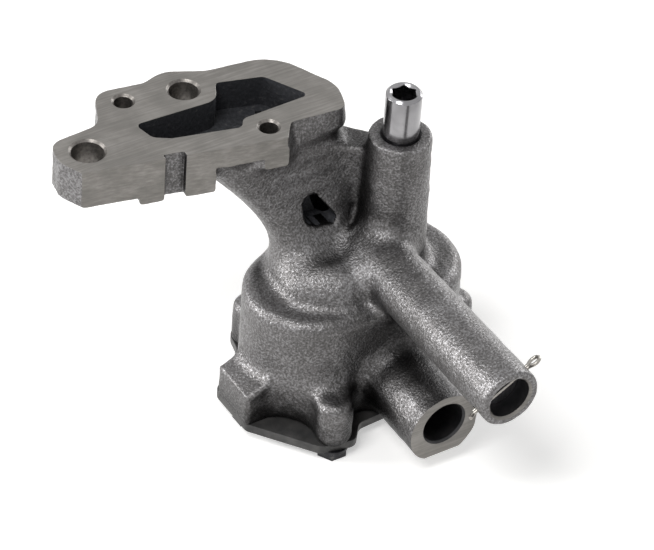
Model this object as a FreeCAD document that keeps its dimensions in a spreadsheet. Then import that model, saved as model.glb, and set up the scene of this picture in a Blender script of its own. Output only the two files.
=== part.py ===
import FreeCAD, Part
import math
import os
import re

import Sketcher

# Engine oil pump: two meshed gears in a cast iron body that hangs from its mounting flange.
# Origin: on the drive shaft's axis, in the plane of the flange's mounting face.
# +Z is up along the drive shaft, -Y is where the inlet and the relief valve tube point,
# and the idler gear lies on the -X side of the drive gear. Millimetres throughout.

os.makedirs("parts", exist_ok=True)
doc = FreeCAD.newDocument("oil_pump")

SIZES = {
    # how far a cut starts outside the metal, or a piece is sunk into its neighbour
    "overlap": 1.0,
    # gears and shafts
    "shaft_dia": 12.7,
    "shaft_rise": 10.0,
    "hex_across_flats": 7.94,
    "hex_depth": 12.0,
    "socket_bevel": 0.9,
    "shaft_edge": 0.8,
    "gear_teeth": 10,
    "gear_module": 3.175,
    "gear_length": 38.1,
    "pressure_angle": 25.0,
    "backlash": 0.3,
    "root_clearance": 0.8,
    "gear_tip_gap": 0.25,
    "gear_end_gap": 0.1,
    "running_gap": 0.04,
    "idler_shaft_grip": 10.0,
    # gear housing
    "housing_top": -62.0,
    "joint_face": -106.0,
    "idler_end_radius": 24.6,
    "drive_end_radius": 25.8,
    "shoulder_round": 4.5,
    "outlet_rib_x": -15.9,
    "outlet_rib_y": 17.5,
    "outlet_rib_radius": 10.5,
    "outlet_core_radius": 6.0,
    "upright_core_rise": 10.0,
    "core_bend": -42.0,
    "slanted_core_radius": 7.0,
    "slanted_core_x": -22.5,
    "slanted_core_y": 14.5,
    "slanted_core_length": 40.5,
    # drive shaft tower and its web to the neck
    "tower_radius": 11.1,
    "tower_draft": 1.3,
    "tower_top": -7.8,
    "tower_foot_radius": 14.5,
    "tower_foot_height": 3.0,
    "web_top": -15.5,
    "web_thickness": 11.0,
    # relief valve
    "relief_x": -9.6,
    "relief_z": -54.3,
    "tube_radius": 10.7,
    "tube_end": 90.0,
    "tube_root": -3.0,
    "relief_bore_dia": 15.6,
    "relief_bore_start": 13.0,
    "relief_feed_x": -14.5,
    "relief_feed_dia": 6.0,
    "relief_feed_end": 17.0,
    "piston_length": 20.0,
    "piston_wall": 2.6,
    "piston_gap": 0.03,
    "piston_crown": 3.0,
    "piston_nose": 1.5,
    "spring_wire": 1.6,
    "spring_radius": 3.9,
    "spring_turns": 9,
    "spring_end_gap": 0.2,
    "seat_thickness": 2.0,
    "seat_spigot_length": 4.0,
    "seat_spigot_radius": 2.6,
    "seat_skirt": 5.0,
    "seat_gap": 0.08,
    "seat_wall": 1.6,
    "seat_hole_dia": 2.4,
    "cotter_y": 84.0,
    "cotter_tilt": 30.0,
    "cotter_wire": 1.5,
    "cotter_hole_gap": 0.12,
    "cotter_eye_radius": 2.3,
    "cotter_eye_reach": 14.8,
    "cotter_tail": 1.4,
    "cotter_bend": 2.6,
    "cotter_bend_angle": 65.0,
    "cotter_fold": 2.0,
    # inlet
    "inlet_x": -10.6,
    "inlet_z": -92.6,
    "inlet_drop": 1.7,
    "inlet_boss_radius": 13.7,
    "joint_trim_depth": 6.0,
    "inlet_face": 56.0,
    "inlet_boss_root": 18.0,
    "inlet_dia": 16.0,
    "inlet_depth": 20.0,
    "inlet_core_dia": 13.0,
    "inlet_core_end": 11.0,
    # mounting flange
    "flange_thickness": 15.2,
    "flange_lip": 7.6,
    "flange_step": 3.0,
    "tab_drop": 4.7,
    "large_hole_dia": 11.4,
    "large_hole_x": -104.4,
    "large_hole_y": 32.3,
    "second_hole_dia": 10.4,
    "second_hole_x": -59.1,
    "second_hole_y": 46.6,
    "small_hole_dia": 6.6,
    "blind_depth": 11.5,
    "spot_face_radius": 9.6,
    "spot_face_depth": 16.0,
    "rear_small_x": -80.5,
    "rear_small_y": 50.5,
    "front_small_x": -43.6,
    "front_small_y": 15.7,
    "hole_chamfer": 0.8,
    "trough_depth": 12.0,
    "groove_depth": 2.4,
    "side_slope": 0.21,
    "window_top": 2.0,
    "window_bottom": 11.6,
    # cover and its screws
    "cover_thickness": 3.2,
    "screw_dia": 6.0,
    "screw_hole_gap": 0.1,
    "screw_clearance_gap": 0.3,
    "screw_reach": 12.0,
    "screw_head_across": 10.0,
    "screw_head_height": 3.9,
    "screw_flange_dia": 11.6,
    "screw_flange_height": 1.2,
    "lug_radius": 6.6,
    "lug_round": 3.0,
    "side_lug_out": -64.0,
    "side_lug_front": 12.5,
    "side_lug_width": 20.0,
    "side_lug_height": 12.5,
    "side_lug_top": 17.0,
    "side_lug_slope": 9.0,
    "side_lug_reach": 16.0,
}

sheet = doc.addObject("Spreadsheet::Sheet", "sizes")
for row, (alias, size) in enumerate(SIZES.items(), start=1):
    sheet.set(f"A{row}", alias)
    sheet.set(f"B{row}", str(size))
    sheet.setAlias(f"B{row}", alias)
doc.recompute()

ALIAS_WORDS = re.compile(r"\b(" + "|".join(SIZES) + r")\b")


def formula(text):
    """A sum of sheet sizes, with each size's full name."""
    return ALIAS_WORDS.sub(r"sizes.\1", str(text))


def number(text):
    """What such a sum comes to now."""
    return float(sheet.evalExpression(formula(text)))


def tie(item, name, text):
    """Bind one property of an object to the sheet."""
    item.setExpression(name, formula(text))


def origin_of(body, role):
    for feature in body.Origin.OriginFeatures:
        if feature.Role == role:
            return feature


def attach(body, feature, role, offset=("0", "0", "0")):
    """Set a feature on one of its body's own planes, moved by three sizes."""
    feature.AttachmentSupport = [(origin_of(body, role), "")]
    feature.MapMode = "FlatFace"
    for axis, text in zip("xyz", offset):
        tie(feature, f"AttachmentOffset.Base.{axis}", text)


def sketch_on(body, name, role, height="0"):
    sketch = body.newObject("Sketcher::SketchObject", name)
    attach(body, sketch, role, ("0", "0", height))
    return sketch


def hold(sketch, kind, text, *where):
    """Add one sketch constraint whose value comes from the sheet."""
    index = sketch.addConstraint(Sketcher.Constraint(kind, *where, number(text)))
    sketch.setExpression(f"Constraints[{index}]", formula(text))


def hold_point(sketch, edge, end, corner):
    hold(sketch, "DistanceX", corner[0], -1, 1, edge, end)
    hold(sketch, "DistanceY", corner[1], -1, 1, edge, end)


def here(corner):
    return FreeCAD.Vector(number(corner[0]), number(corner[1]), 0)


def polygon(sketch, corners):
    """Closed outline of straight edges through corners given as pairs of sizes."""
    count = len(corners)
    points = [here(corner) for corner in corners]
    first = sketch.GeometryCount
    for index in range(count):
        sketch.addGeometry(Part.LineSegment(points[index], points[(index + 1) % count]))
    for index in range(count):
        after = (index + 1) % count
        sketch.addConstraint(Sketcher.Constraint("Coincident", first + index, 2, first + after, 1))
    for index, corner in enumerate(corners):
        hold_point(sketch, first + index, 1, corner)


def ring(sketch, centre, radius):
    edge = sketch.addGeometry(Part.Circle(here(centre), FreeCAD.Vector(0, 0, 1), number(radius)))
    hold_point(sketch, edge, 3, centre)
    hold(sketch, "Radius", radius, edge)


def tapered_slot(sketch, centre_a, radius_a, centre_b, radius_b):
    """Two arcs of different radius joined by their common tangents."""
    point_a = here(centre_a)
    point_b = here(centre_b)
    size_a = number(radius_a)
    size_b = number(radius_b)
    along = point_b - point_a
    heading = math.atan2(along.y, along.x)
    lean = math.acos((size_a - size_b) / along.Length)
    up = FreeCAD.Vector(0, 0, 1)

    def rim(centre, radius, angle):
        return centre + FreeCAD.Vector(radius * math.cos(angle), radius * math.sin(angle), 0)

    left = heading + lean
    right = heading - lean
    arc_a = sketch.addGeometry(
        Part.ArcOfCircle(Part.Circle(point_a, up, size_a), left, right + 2 * math.pi))
    arc_b = sketch.addGeometry(
        Part.ArcOfCircle(Part.Circle(point_b, up, size_b), right, left))
    side_right = sketch.addGeometry(
        Part.LineSegment(rim(point_a, size_a, right), rim(point_b, size_b, right)))
    side_left = sketch.addGeometry(
        Part.LineSegment(rim(point_b, size_b, left), rim(point_a, size_a, left)))
    for one, end_one, two, end_two in (
            (arc_a, 2, side_right, 1), (side_right, 2, arc_b, 1),
            (arc_b, 2, side_left, 1), (side_left, 2, arc_a, 1)):
        sketch.addConstraint(Sketcher.Constraint("Tangent", one, end_one, two, end_two))
    hold_point(sketch, arc_a, 3, centre_a)
    hold_point(sketch, arc_b, 3, centre_b)
    hold(sketch, "Radius", radius_a, arc_a)
    hold(sketch, "Radius", radius_b, arc_b)


def pad(body, sketch, length, down=False):
    feature = body.newObject("PartDesign::Pad", sketch.Name + "_pad")
    feature.Profile = sketch
    tie(feature, "Length", length)
    feature.Reversed = down
    return feature


def pocket(body, sketch, length, up=False):
    feature = body.newObject("PartDesign::Pocket", sketch.Name + "_pocket")
    feature.Profile = sketch
    tie(feature, "Length", length)
    feature.Reversed = up
    return feature


def bar(body, name, role, offset, radius, length, cut=False):
    """A round bar, or a round hole, square to one of the body's planes."""
    kind = "Subtractive" if cut else "Additive"
    feature = body.newObject(f"PartDesign::{kind}Cylinder", name)
    attach(body, feature, role, offset)
    tie(feature, "Radius", radius)
    tie(feature, "Height", length)
    return feature


def cone(body, name, role, offset, low_radius, high_radius, length, cut=False):
    kind = "Subtractive" if cut else "Additive"
    feature = body.newObject(f"PartDesign::{kind}Cone", name)
    attach(body, feature, role, offset)
    tie(feature, "Radius1", low_radius)
    tie(feature, "Radius2", high_radius)
    tie(feature, "Height", length)
    return feature


def edges_where(feature, wanted):
    """Names of a feature's edges that pass a test."""
    doc.recompute()
    return [f"Edge{index}" for index, edge in enumerate(feature.Shape.Edges, start=1)
            if wanted(edge)]


def near(value, target, reach=0.02):
    return abs(value - target) < reach


def upright_at(corner, low="-1000", high="1000"):
    """A test for the vertical edge that stands at a corner."""
    x = number(corner[0])
    y = number(corner[1])
    lowest = number(low)
    highest = number(high)

    def wanted(edge):
        box = edge.BoundBox
        thin = box.XLength < 0.01 and box.YLength < 0.01 and box.ZLength > 0.5
        inside = box.ZMin > lowest - 0.1 and box.ZMax < highest + 0.1
        return thin and inside and near(box.XMin, x) and near(box.YMin, y)
    return wanted


def circle_at(centre_x, centre_y, height, radius):
    """A test for the level round edge at a place and of a size."""
    place = FreeCAD.Vector(number(centre_x), number(centre_y), number(height))
    size = number(radius)

    def wanted(edge):
        curve = edge.Curve
        if not isinstance(curve, Part.Circle):
            return False
        return curve.Center.distanceToPoint(place) < 0.02 and near(curve.Radius, size)
    return wanted


def soften(body, feature, names, radius, kind="Fillet"):
    """Round or bevel some edges of a feature."""
    if not names:
        raise ValueError(f"no edges found to soften on {feature.Name}")
    dressed = body.newObject(f"PartDesign::{kind}", f"{feature.Name}_{kind.lower()}")
    dressed.Base = (feature, names)
    tie(dressed, "Radius" if kind == "Fillet" else "Size", radius)
    return dressed


def round_corners(body, feature, corners, low="-1000", high="1000"):
    """Round each upright corner of a padded outline by its own radius."""
    last = feature
    for corner in corners:
        if len(corner) == 3:
            names = edges_where(last, upright_at(corner, low, high))
            last = soften(body, last, names, corner[2])
    return last


def new_body(name):
    body = doc.addObject("PartDesign::Body", name)
    body.Label = name
    return body


IDLER = ("-gear_module * gear_teeth", "0")
DRIVE = ("0", "0")
POCKET_RADIUS = "gear_module * (gear_teeth + 2) / 2 + gear_tip_gap"
POCKET_TOP = "joint_face + gear_length + 2 * gear_end_gap"

# Pump body: one iron casting

pump_body = new_body("pump_body")

# Gear housing: two round ends joined by their tangents, with a rounded shoulder
housing = sketch_on(pump_body, "housing", "XY_Plane", "joint_face")
tapered_slot(housing, DRIVE, "drive_end_radius", IDLER, "idler_end_radius")
last = pad(pump_body, housing, "housing_top - joint_face")
shoulder = edges_where(last, lambda edge: edge.BoundBox.ZMin > number("housing_top") - 0.01)
last = soften(pump_body, last, shoulder, "shoulder_round")

# Outlet rib: the back wall swells round the passage that leads up to the neck
rib = sketch_on(pump_body, "outlet_rib", "XY_Plane", "joint_face")
tapered_slot(rib, ("outlet_rib_x", "0"), "outlet_rib_radius + 2 * overlap",
             ("outlet_rib_x", "outlet_rib_y"), "outlet_rib_radius")
pad(pump_body, rib, "housing_top - joint_face - 2 * overlap")

# Drive shaft tower on a flared foot
cone(pump_body, "tower", "XY_Plane", ("0", "0", "housing_top - 2 * overlap"),
     "tower_radius + tower_draft", "tower_radius", "tower_top - housing_top + 2 * overlap")
cone(pump_body, "tower_foot", "XY_Plane", ("0", "0", "housing_top - overlap"),
     "tower_foot_radius", "tower_radius + tower_draft", "tower_foot_height")

# Neck: four smooth sections that lean from the dome over the idler shaft out to the flange
NECK_SECTIONS = [
    ("housing_top - overlap", [(-41.5, -10), (-27, -18.4), (-12, -13), (-4, 2), (-6, 18),
                         (-18, 29), (-36, 21), (-44.5, 4)]),
    ("housing_top + 17", [(-38, 5.5), (-26, 4.5), (-14, 5), (-7, 13), (-10, 26),
                          (-23, 34), (-37, 29), (-42.5, 16)]),
    ("housing_top + 37", [(-53, 14), (-36, 11), (-18, 11.5), (-11.5, 20), (-15, 34),
                          (-31, 44), (-48, 42), (-57, 28)]),
    ("-flange_lip + 2 * overlap", [(-66, 16.5), (-42, 13.5), (-19, 14.5), (-13.5, 22), (-17, 37),
                         (-33, 48), (-56, 52), (-70, 34)]),
]
sections = []
for index, (height, outline) in enumerate(NECK_SECTIONS, start=1):
    section = sketch_on(pump_body, f"neck_section_{index}", "XY_Plane", height)
    curve = Part.BSplineCurve()
    curve.interpolate([FreeCAD.Vector(x, y, 0) for x, y in outline], PeriodicFlag=True)
    section.addGeometry(curve)
    sections.append(section)
neck = pump_body.newObject("PartDesign::AdditiveLoft", "neck")
neck.Profile = sections[0]
neck.Sections = sections[1:]

# Web between the neck and the tower
WEB_CORNERS = [("-24", "10"), ("-5", "-web_thickness * 0.6"), ("3", "web_thickness * 0.8"), ("-16", "28")]
web = sketch_on(pump_body, "web", "XY_Plane", "housing_top - overlap")
polygon(web, WEB_CORNERS)
pad(pump_body, web, "web_top - housing_top + overlap")

# Relief valve tube and inlet boss, both pointing to -Y
bar(pump_body, "relief_tube", "XZ_Plane", ("relief_x", "relief_z", "tube_root"),
    "tube_radius", "tube_end - tube_root")
bar(pump_body, "inlet_boss", "XZ_Plane", ("inlet_x", "inlet_z - inlet_drop", "inlet_boss_root"),
    "inlet_boss_radius", "inlet_face - inlet_boss_root")

# Cover lugs: screw place, the point of the housing that each grows from, its height, and the
# angle in degrees at which that screw's head came to rest
SCREWS = [
    (("-39.5", "-30.8"), ("-33", "-12"), "17", 0),
    (("-56.4", "-2.5"), None, None, 30),
    (("-38.3", "28"), ("-33.5", "10"), "17", 12),
    (("8", "28"), ("2", "10"), "18", 47),
    (("28", "-3"), ("10", "-1"), "16.5", 21),
]
for index, (place, root, height, turn) in enumerate(SCREWS, start=1):
    if root is None:
        continue
    lug = sketch_on(pump_body, f"lug_{index}", "XY_Plane", "joint_face")
    tapered_slot(lug, root, "lug_radius + 2 * overlap", place, "lug_radius")
    last = pad(pump_body, lug, height)
    lug_rim = edges_where(last, circle_at(*place, f"joint_face + {height}", "lug_radius"))
    soften(pump_body, last, lug_rim, "lug_round")

# The left lug is square, with a flat outer side and a top that slopes out
side_lug = sketch_on(pump_body, "side_lug", "XZ_Plane", "side_lug_front")
polygon(side_lug, [
    ("side_lug_out", "joint_face"), ("side_lug_out", "joint_face + side_lug_height"),
    ("side_lug_out + side_lug_slope", "joint_face + side_lug_top"),
    ("side_lug_out + side_lug_reach", "joint_face + side_lug_top"),
    ("side_lug_out + side_lug_reach", "joint_face"),
])
pad(pump_body, side_lug, "side_lug_width", down=True)

# Mounting flange: the thick arm on the left, the thin lip round the outlet on the right
FRONT_LEFT = ("-112", "22.7")
FRONT_BREAK = ("-65.5", "12.76")
FRONT_RIGHT = ("-40.9", "7.5")
ARM_REAR = [
    ("-116", "31.5", "6"), ("-114", "41.5", "6"), ("-94.5", "43", "6"), ("-87", "59", "6.5"),
    ("-69", "55.9", "14"),
]
arm = sketch_on(pump_body, "flange_arm", "XY_Plane")
ARM_CORNERS = [FRONT_LEFT] + ARM_REAR + [("-66", "56.8"), FRONT_BREAK]
polygon(arm, ARM_CORNERS)
last = pad(pump_body, arm, "flange_thickness", down=True)
last = round_corners(pump_body, last, ARM_REAR[:4], "-flange_thickness", "0")

lip = sketch_on(pump_body, "flange_lip", "XY_Plane")
LIP_CORNERS = [
    ("-69.5", "13.61"), ("-69.5", "56"), ("-60.5", "58.6", "9"), ("-47", "52.3", "12"),
    ("-22", "49", "17"), ("-10.6", "25", "11"), ("-14.5", "12.2", "4"), ("-35.5", "14.3", "2.5"),
    FRONT_RIGHT,
]
polygon(lip, LIP_CORNERS)
last = pad(pump_body, lip, "flange_lip", down=True)
last = round_corners(pump_body, last, LIP_CORNERS, "-flange_lip", "0")

boss = sketch_on(pump_body, "second_boss", "XY_Plane")
ring(boss, ("second_hole_x", "second_hole_y"), "spot_face_radius + overlap / 2")
pad(pump_body, boss, "flange_thickness", down=True)

step = sketch_on(pump_body, "flange_step", "XY_Plane", "-flange_thickness + overlap")
polygon(step, [("-92", "18.42"), ("-86", "46"), ("-66", "50"), FRONT_BREAK])
pad(pump_body, step, "flange_step + overlap", down=True)

tab = sketch_on(pump_body, "flange_tab", "XY_Plane", "-flange_lip + overlap")
polygon(tab, [("-48", "9.02"), FRONT_RIGHT, ("-36.6", "12.5"), ("-38", "20"), ("-50", "20")])
pad(pump_body, tab, "tab_drop + overlap", down=True)

# Flat joint face: the inlet boss is cut level with it
trim = sketch_on(pump_body, "joint_trim", "XY_Plane", "joint_face")
TRIM_FRONT = "-inlet_face - 2 * overlap"
polygon(trim, [("-30", TRIM_FRONT), ("10", TRIM_FRONT), ("10", "0"), ("-30", "0")])
pocket(pump_body, trim, "joint_trim_depth")

# Gear chambers, shaft bores, passages
for name, centre in (("drive_chamber", DRIVE), ("idler_chamber", IDLER)):
    bar(pump_body, name, "XY_Plane", (centre[0], centre[1], "joint_face"),
        POCKET_RADIUS, f"{POCKET_TOP} - joint_face", cut=True)
bar(pump_body, "drive_bore", "XY_Plane", ("0", "0", "joint_face"),
    "shaft_dia / 2 + running_gap", "tower_top - joint_face + overlap", cut=True)
bar(pump_body, "idler_bore", "XY_Plane", (IDLER[0], IDLER[1], "joint_face"),
    "shaft_dia / 2", f"{POCKET_TOP} + idler_shaft_grip - joint_face", cut=True)
bar(pump_body, "relief_bore", "XZ_Plane", ("relief_x", "relief_z", "relief_bore_start"),
    "relief_bore_dia / 2", "tube_end - relief_bore_start + overlap", cut=True)
bar(pump_body, "relief_feed", "XZ_Plane", ("relief_feed_x", "relief_z", "-relief_feed_end"),
    "relief_feed_dia / 2", "relief_feed_end + relief_bore_start + overlap", cut=True)
bar(pump_body, "inlet_bore", "XZ_Plane", ("inlet_x", "inlet_z", "inlet_face - inlet_depth"),
    "inlet_dia / 2", "inlet_depth + overlap", cut=True)
bar(pump_body, "inlet_core", "XZ_Plane", ("inlet_x", "inlet_z", "inlet_core_end"),
    "inlet_core_dia / 2", "inlet_face - inlet_core_end - inlet_depth + overlap", cut=True)

# Outlet passage: an upright core beside the gears, then a slanted one up the neck
bar(pump_body, "upright_core", "XY_Plane", ("outlet_rib_x", "outlet_rib_y", "joint_face + upright_core_rise"),
    "outlet_core_radius", "core_bend - joint_face - upright_core_rise", cut=True)
bend = pump_body.newObject("PartDesign::SubtractiveSphere", "core_bend")
attach(pump_body, bend, "XY_Plane", ("outlet_rib_x", "outlet_rib_y", "core_bend"))
tie(bend, "Radius", "slanted_core_radius")
slant = pump_body.newObject("PartDesign::SubtractiveCylinder", "slanted_core")
attach(pump_body, slant, "XY_Plane", ("outlet_rib_x", "outlet_rib_y", "core_bend"))
CORE_RUN = FreeCAD.Vector(
    number("slanted_core_x"), number("slanted_core_y"), -number("core_bend + trough_depth"))
CORE_LEAN = FreeCAD.Rotation(FreeCAD.Vector(0, 0, 1), CORE_RUN)
slant.AttachmentOffset = FreeCAD.Placement(slant.AttachmentOffset.Base, CORE_LEAN)
tie(slant, "Radius", "slanted_core_radius")
tie(slant, "Height", "slanted_core_length")

# Spot face for the second bolt's head, cut into the back of the neck
spot = sketch_on(pump_body, "spot_face", "XY_Plane", "-flange_thickness")
ring(spot, ("second_hole_x", "second_hole_y"), "spot_face_radius")
pocket(pump_body, spot, "spot_face_depth")

# Outlet opening in the mounting face: its edge follows the bosses of the bolt holes
OPENING = [
    ("-83.4", "37.2", "1.8"), ("-81.6", "28.6", "4"), ("-76", "25.2", "4"), ("-51", "19.3", "2.5"),
    ("-50.2", "23.4", "3.5"), ("-22.2", "24.4", "1.6"), ("-31", "40.3", "4"), ("-47.6", "44.8", "2"),
    ("-52", "36.3", "6"),
]
opening = sketch_on(pump_body, "outlet_opening", "XY_Plane", "overlap")
polygon(opening, OPENING)
last = pocket(pump_body, opening, "trough_depth + overlap")
last = round_corners(pump_body, last, OPENING, "-trough_depth", "0")

# Bolt holes with bevelled rims: three go through, the front small one is blind
HOLES = [
    ("large_hole_x", "large_hole_y", "large_hole_dia / 2"),
    ("second_hole_x", "second_hole_y", "second_hole_dia / 2"),
    ("rear_small_x", "rear_small_y", "small_hole_dia / 2"),
]
BLIND_HOLE = ("front_small_x", "front_small_y", "small_hole_dia / 2")
through = sketch_on(pump_body, "through_holes", "XY_Plane", "overlap")
for x, y, radius in HOLES:
    ring(through, (x, y), radius)
pocket(pump_body, through, "flange_thickness + spot_face_depth")
blind = sketch_on(pump_body, "blind_hole", "XY_Plane")
ring(blind, BLIND_HOLE[:2], BLIND_HOLE[2])
last = pocket(pump_body, blind, "blind_depth")
for x, y, radius in HOLES + [BLIND_HOLE]:
    rim = edges_where(last, circle_at(x, y, "0", radius))
    last = soften(pump_body, last, rim, "hole_chamfer", "Chamfer")

# Cast groove across the machined front side, square to it
groove = sketch_on(pump_body, "side_groove", "XY_Plane", "overlap")
polygon(groove, [
    ("-83.6", "15.6"), ("-76.2", "14.02"), ("-76.2 + side_slope * groove_depth", "15.0 + groove_depth"),
    ("-83.6 + side_slope * groove_depth", "16.62 + groove_depth"),
])
pocket(pump_body, groove, "flange_thickness + flange_step + 2 * overlap")

# Blind triangular core hole in the front of the neck
window = sketch_on(pump_body, "window", "XZ_Plane", "-window_top")
WINDOW = [("-32.5", "-41"), ("-33", "-35.5"), ("-26.5", "-31"), ("-20", "-38.8"),
          ("-20.5", "-42.3"), ("-25.5", "-45")]
polygon(window, WINDOW)
pocket(pump_body, window, "window_bottom - window_top")

# Tapped holes for the cover screws
tapped = sketch_on(pump_body, "tapped_holes", "XY_Plane", "joint_face - overlap")
for place, root, height, turn in SCREWS:
    ring(tapped, place, "screw_dia / 2 + screw_hole_gap")
pocket(pump_body, tapped, "screw_reach + 2 * overlap - cover_thickness", up=True)

# Cotter hole right through the tube wall, tilted
COTTER_HOLE = "cotter_wire * 1.04 + cotter_hole_gap"
cotter_hole = pump_body.newObject("PartDesign::SubtractiveCylinder", "cotter_hole")
attach(pump_body, cotter_hole, "XY_Plane", ("relief_x", "-cotter_y", "relief_z"))
TILT = FreeCAD.Rotation(FreeCAD.Vector(0, 1, 0), 90 - number("cotter_tilt"))
COTTER_LINE = TILT.multVec(FreeCAD.Vector(0, 0, 1))
COTTER_HALF = number("tube_radius + 3 * overlap")
cotter_hole.AttachmentOffset = FreeCAD.Placement(FreeCAD.Vector(
    number("relief_x") - COTTER_HALF * COTTER_LINE.x, -number("cotter_y"),
    number("relief_z") - COTTER_HALF * COTTER_LINE.z), TILT)
for axis in "xyz":
    cotter_hole.setExpression(f"AttachmentOffset.Base.{axis}", None)
tie(cotter_hole, "Radius", COTTER_HOLE)
tie(cotter_hole, "Height", "2 * (tube_radius + 3 * overlap)")

# Pump cover: a flat plate whose outline runs round the screws

pump_cover = new_body("pump_cover")
COVER = [
    ("-63.4", "-11.8", "4"), ("-46.4", "-34.2", "5"), ("-33.5", "-36.6", "4"), ("-28", "-29.8", "4"),
    ("14", "-27", "20"), ("34.4", "-12", "6"), ("34.4", "5", "6"), ("17", "33", "7"),
    ("1", "35", "7"), ("-8", "28.5", "8"), ("-27", "28.5", "6"), ("-33.5", "35", "5"),
    ("-43.5", "34", "5"), ("-46", "23.5", "4"), ("-63.4", "8.8", "4"),
]
plate = sketch_on(pump_cover, "plate", "XY_Plane")
polygon(plate, COVER)
last = pad(pump_cover, plate, "cover_thickness", down=True)
last = round_corners(pump_cover, last, COVER)
clearance = sketch_on(pump_cover, "clearance_holes", "XY_Plane", "overlap")
for place, root, height, turn in SCREWS:
    ring(clearance, place, "screw_dia / 2 + screw_clearance_gap")
pocket(pump_cover, clearance, "cover_thickness + 2 * overlap")
tie(pump_cover, "Placement.Base.z", "joint_face")

# Cover screws: hexagon heads with a washer face under them

for index, (place, root, height, turn) in enumerate(SCREWS, start=1):
    screw = new_body(f"cover_screw_{index}")
    bar(screw, f"shank_{index}", "XY_Plane", ("0", "0", "0"), "screw_dia / 2", "screw_reach")
    bar(screw, f"washer_face_{index}", "XY_Plane", ("0", "0", "-screw_flange_height"),
        "screw_flange_dia / 2", "screw_flange_height")
    head = screw.newObject("PartDesign::AdditivePrism", f"head_{index}")
    head.Polygon = 6
    attach(screw, head, "XY_Plane", ("0", "0", "-screw_head_height"))
    head.AttachmentOffset = FreeCAD.Placement(
        head.AttachmentOffset.Base, FreeCAD.Rotation(FreeCAD.Vector(0, 0, 1), turn))
    tie(head, "Circumradius", "screw_head_across / sqrt(3)")
    tie(head, "Height", "screw_head_height - screw_flange_height")
    tie(screw, "Placement.Base.x", place[0])
    tie(screw, "Placement.Base.y", place[1])
    tie(screw, "Placement.Base.z", "joint_face - cover_thickness")

# Drive shaft: ground bar with a hexagon socket in its top

drive_shaft = new_body("drive_shaft")
last = bar(drive_shaft, "shaft_bar", "XY_Plane", ("0", "0", "0"),
           "shaft_dia / 2", "shaft_rise - joint_face - gear_end_gap")
rims = edges_where(last, lambda edge: isinstance(edge.Curve, Part.Circle))
soften(drive_shaft, last, rims, "shaft_edge", "Chamfer")
socket = drive_shaft.newObject("PartDesign::SubtractivePrism", "hex_socket")
socket.Polygon = 6
attach(drive_shaft, socket, "XY_Plane",
       ("0", "0", "shaft_rise - joint_face - gear_end_gap - hex_depth"))
tie(socket, "Circumradius", "hex_across_flats / sqrt(3)")
tie(socket, "Height", "hex_depth + overlap")
cone(drive_shaft, "socket_bevel", "XY_Plane",
     ("0", "0", "shaft_rise - joint_face - gear_end_gap - socket_bevel"),
     "hex_across_flats / 2 - socket_bevel / 4", "hex_across_flats / 2 + socket_bevel",
     "socket_bevel", cut=True)
tie(drive_shaft, "Placement.Base.z", "joint_face + gear_end_gap")

# Idler shaft: plain pin pressed into the body

idler_shaft = new_body("idler_shaft")
last = bar(idler_shaft, "idler_bar", "XY_Plane", ("0", "0", "0"), "shaft_dia / 2",
           f"{POCKET_TOP} + idler_shaft_grip - joint_face - gear_end_gap")
rims = edges_where(last, circle_at("0", "0", "0", "shaft_dia / 2"))
soften(idler_shaft, last, rims, "shaft_edge", "Chamfer")
tie(idler_shaft, "Placement.Base.x", IDLER[0])
tie(idler_shaft, "Placement.Base.z", "joint_face + gear_end_gap")

# Gears: involute teeth on a root cylinder, one tooth turned round the axis


def spur_gear(name, bore):
    """A straight-toothed gear, with one tooth centred on +X."""
    body = new_body(name)
    teeth = int(number("gear_teeth"))
    module = number("gear_module")
    pitch_radius = module * teeth / 2
    tip_radius = pitch_radius + module
    root_radius = pitch_radius - module - number("root_clearance")
    angle = math.radians(number("pressure_angle"))
    base_radius = pitch_radius * math.cos(angle)
    bar(body, f"{name}_root", "XY_Plane", ("0", "0", "0"),
        "gear_module * (gear_teeth / 2 - 1) - root_clearance", "gear_length")

    def half_angle(radius):
        """Half the angle that the tooth takes up at a radius."""
        at_pitch = (math.pi * module / 2 - number("backlash") / 2) / (2 * pitch_radius)
        if radius <= base_radius:
            return at_pitch + math.tan(angle) - angle
        slope = math.acos(base_radius / radius)
        return at_pitch + math.tan(angle) - angle - (math.tan(slope) - slope)

    def flank_point(radius, side):
        turn = side * half_angle(radius)
        return FreeCAD.Vector(radius * math.cos(turn), radius * math.sin(turn), 0)

    # Each flank is two arcs through five points of the involute
    radii = [base_radius + (tip_radius - base_radius) * k / 4 for k in range(5)]
    tooth = sketch_on(body, f"{name}_tooth", "XY_Plane")
    for side in (1, -1):
        flank = [flank_point(radius, side) for radius in radii]
        tooth.addGeometry(Part.Arc(flank[0], flank[1], flank[2]))
        tooth.addGeometry(Part.Arc(flank[2], flank[3], flank[4]))
    foot = root_radius - 1
    feet = [FreeCAD.Vector(foot * math.cos(half_angle(foot)), side * foot * math.sin(half_angle(foot)), 0)
            for side in (1, -1)]
    tooth.addGeometry(Part.LineSegment(feet[0], flank_point(base_radius, 1)))
    tooth.addGeometry(Part.LineSegment(flank_point(base_radius, -1), feet[1]))
    tooth.addGeometry(Part.LineSegment(feet[1], feet[0]))
    crest = Part.Arc(flank_point(tip_radius, 1), FreeCAD.Vector(tip_radius, 0, 0),
                     flank_point(tip_radius, -1))
    tooth.addGeometry(crest)
    tooth_pad = pad(body, tooth, "gear_length")
    doc.recompute()
    crown = body.newObject("PartDesign::PolarPattern", f"{name}_teeth")
    crown.Originals = [tooth_pad]
    crown.Axis = (origin_of(body, "Z_Axis"), [""])
    crown.Angle = 360
    tie(crown, "Occurrences", "gear_teeth")
    body.Tip = crown
    bar(body, f"{name}_bore", "XY_Plane", ("0", "0", "-overlap"), bore, "gear_length + 2 * overlap", cut=True)
    tie(body, "Placement.Base.z", "joint_face + gear_end_gap")
    return body


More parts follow.
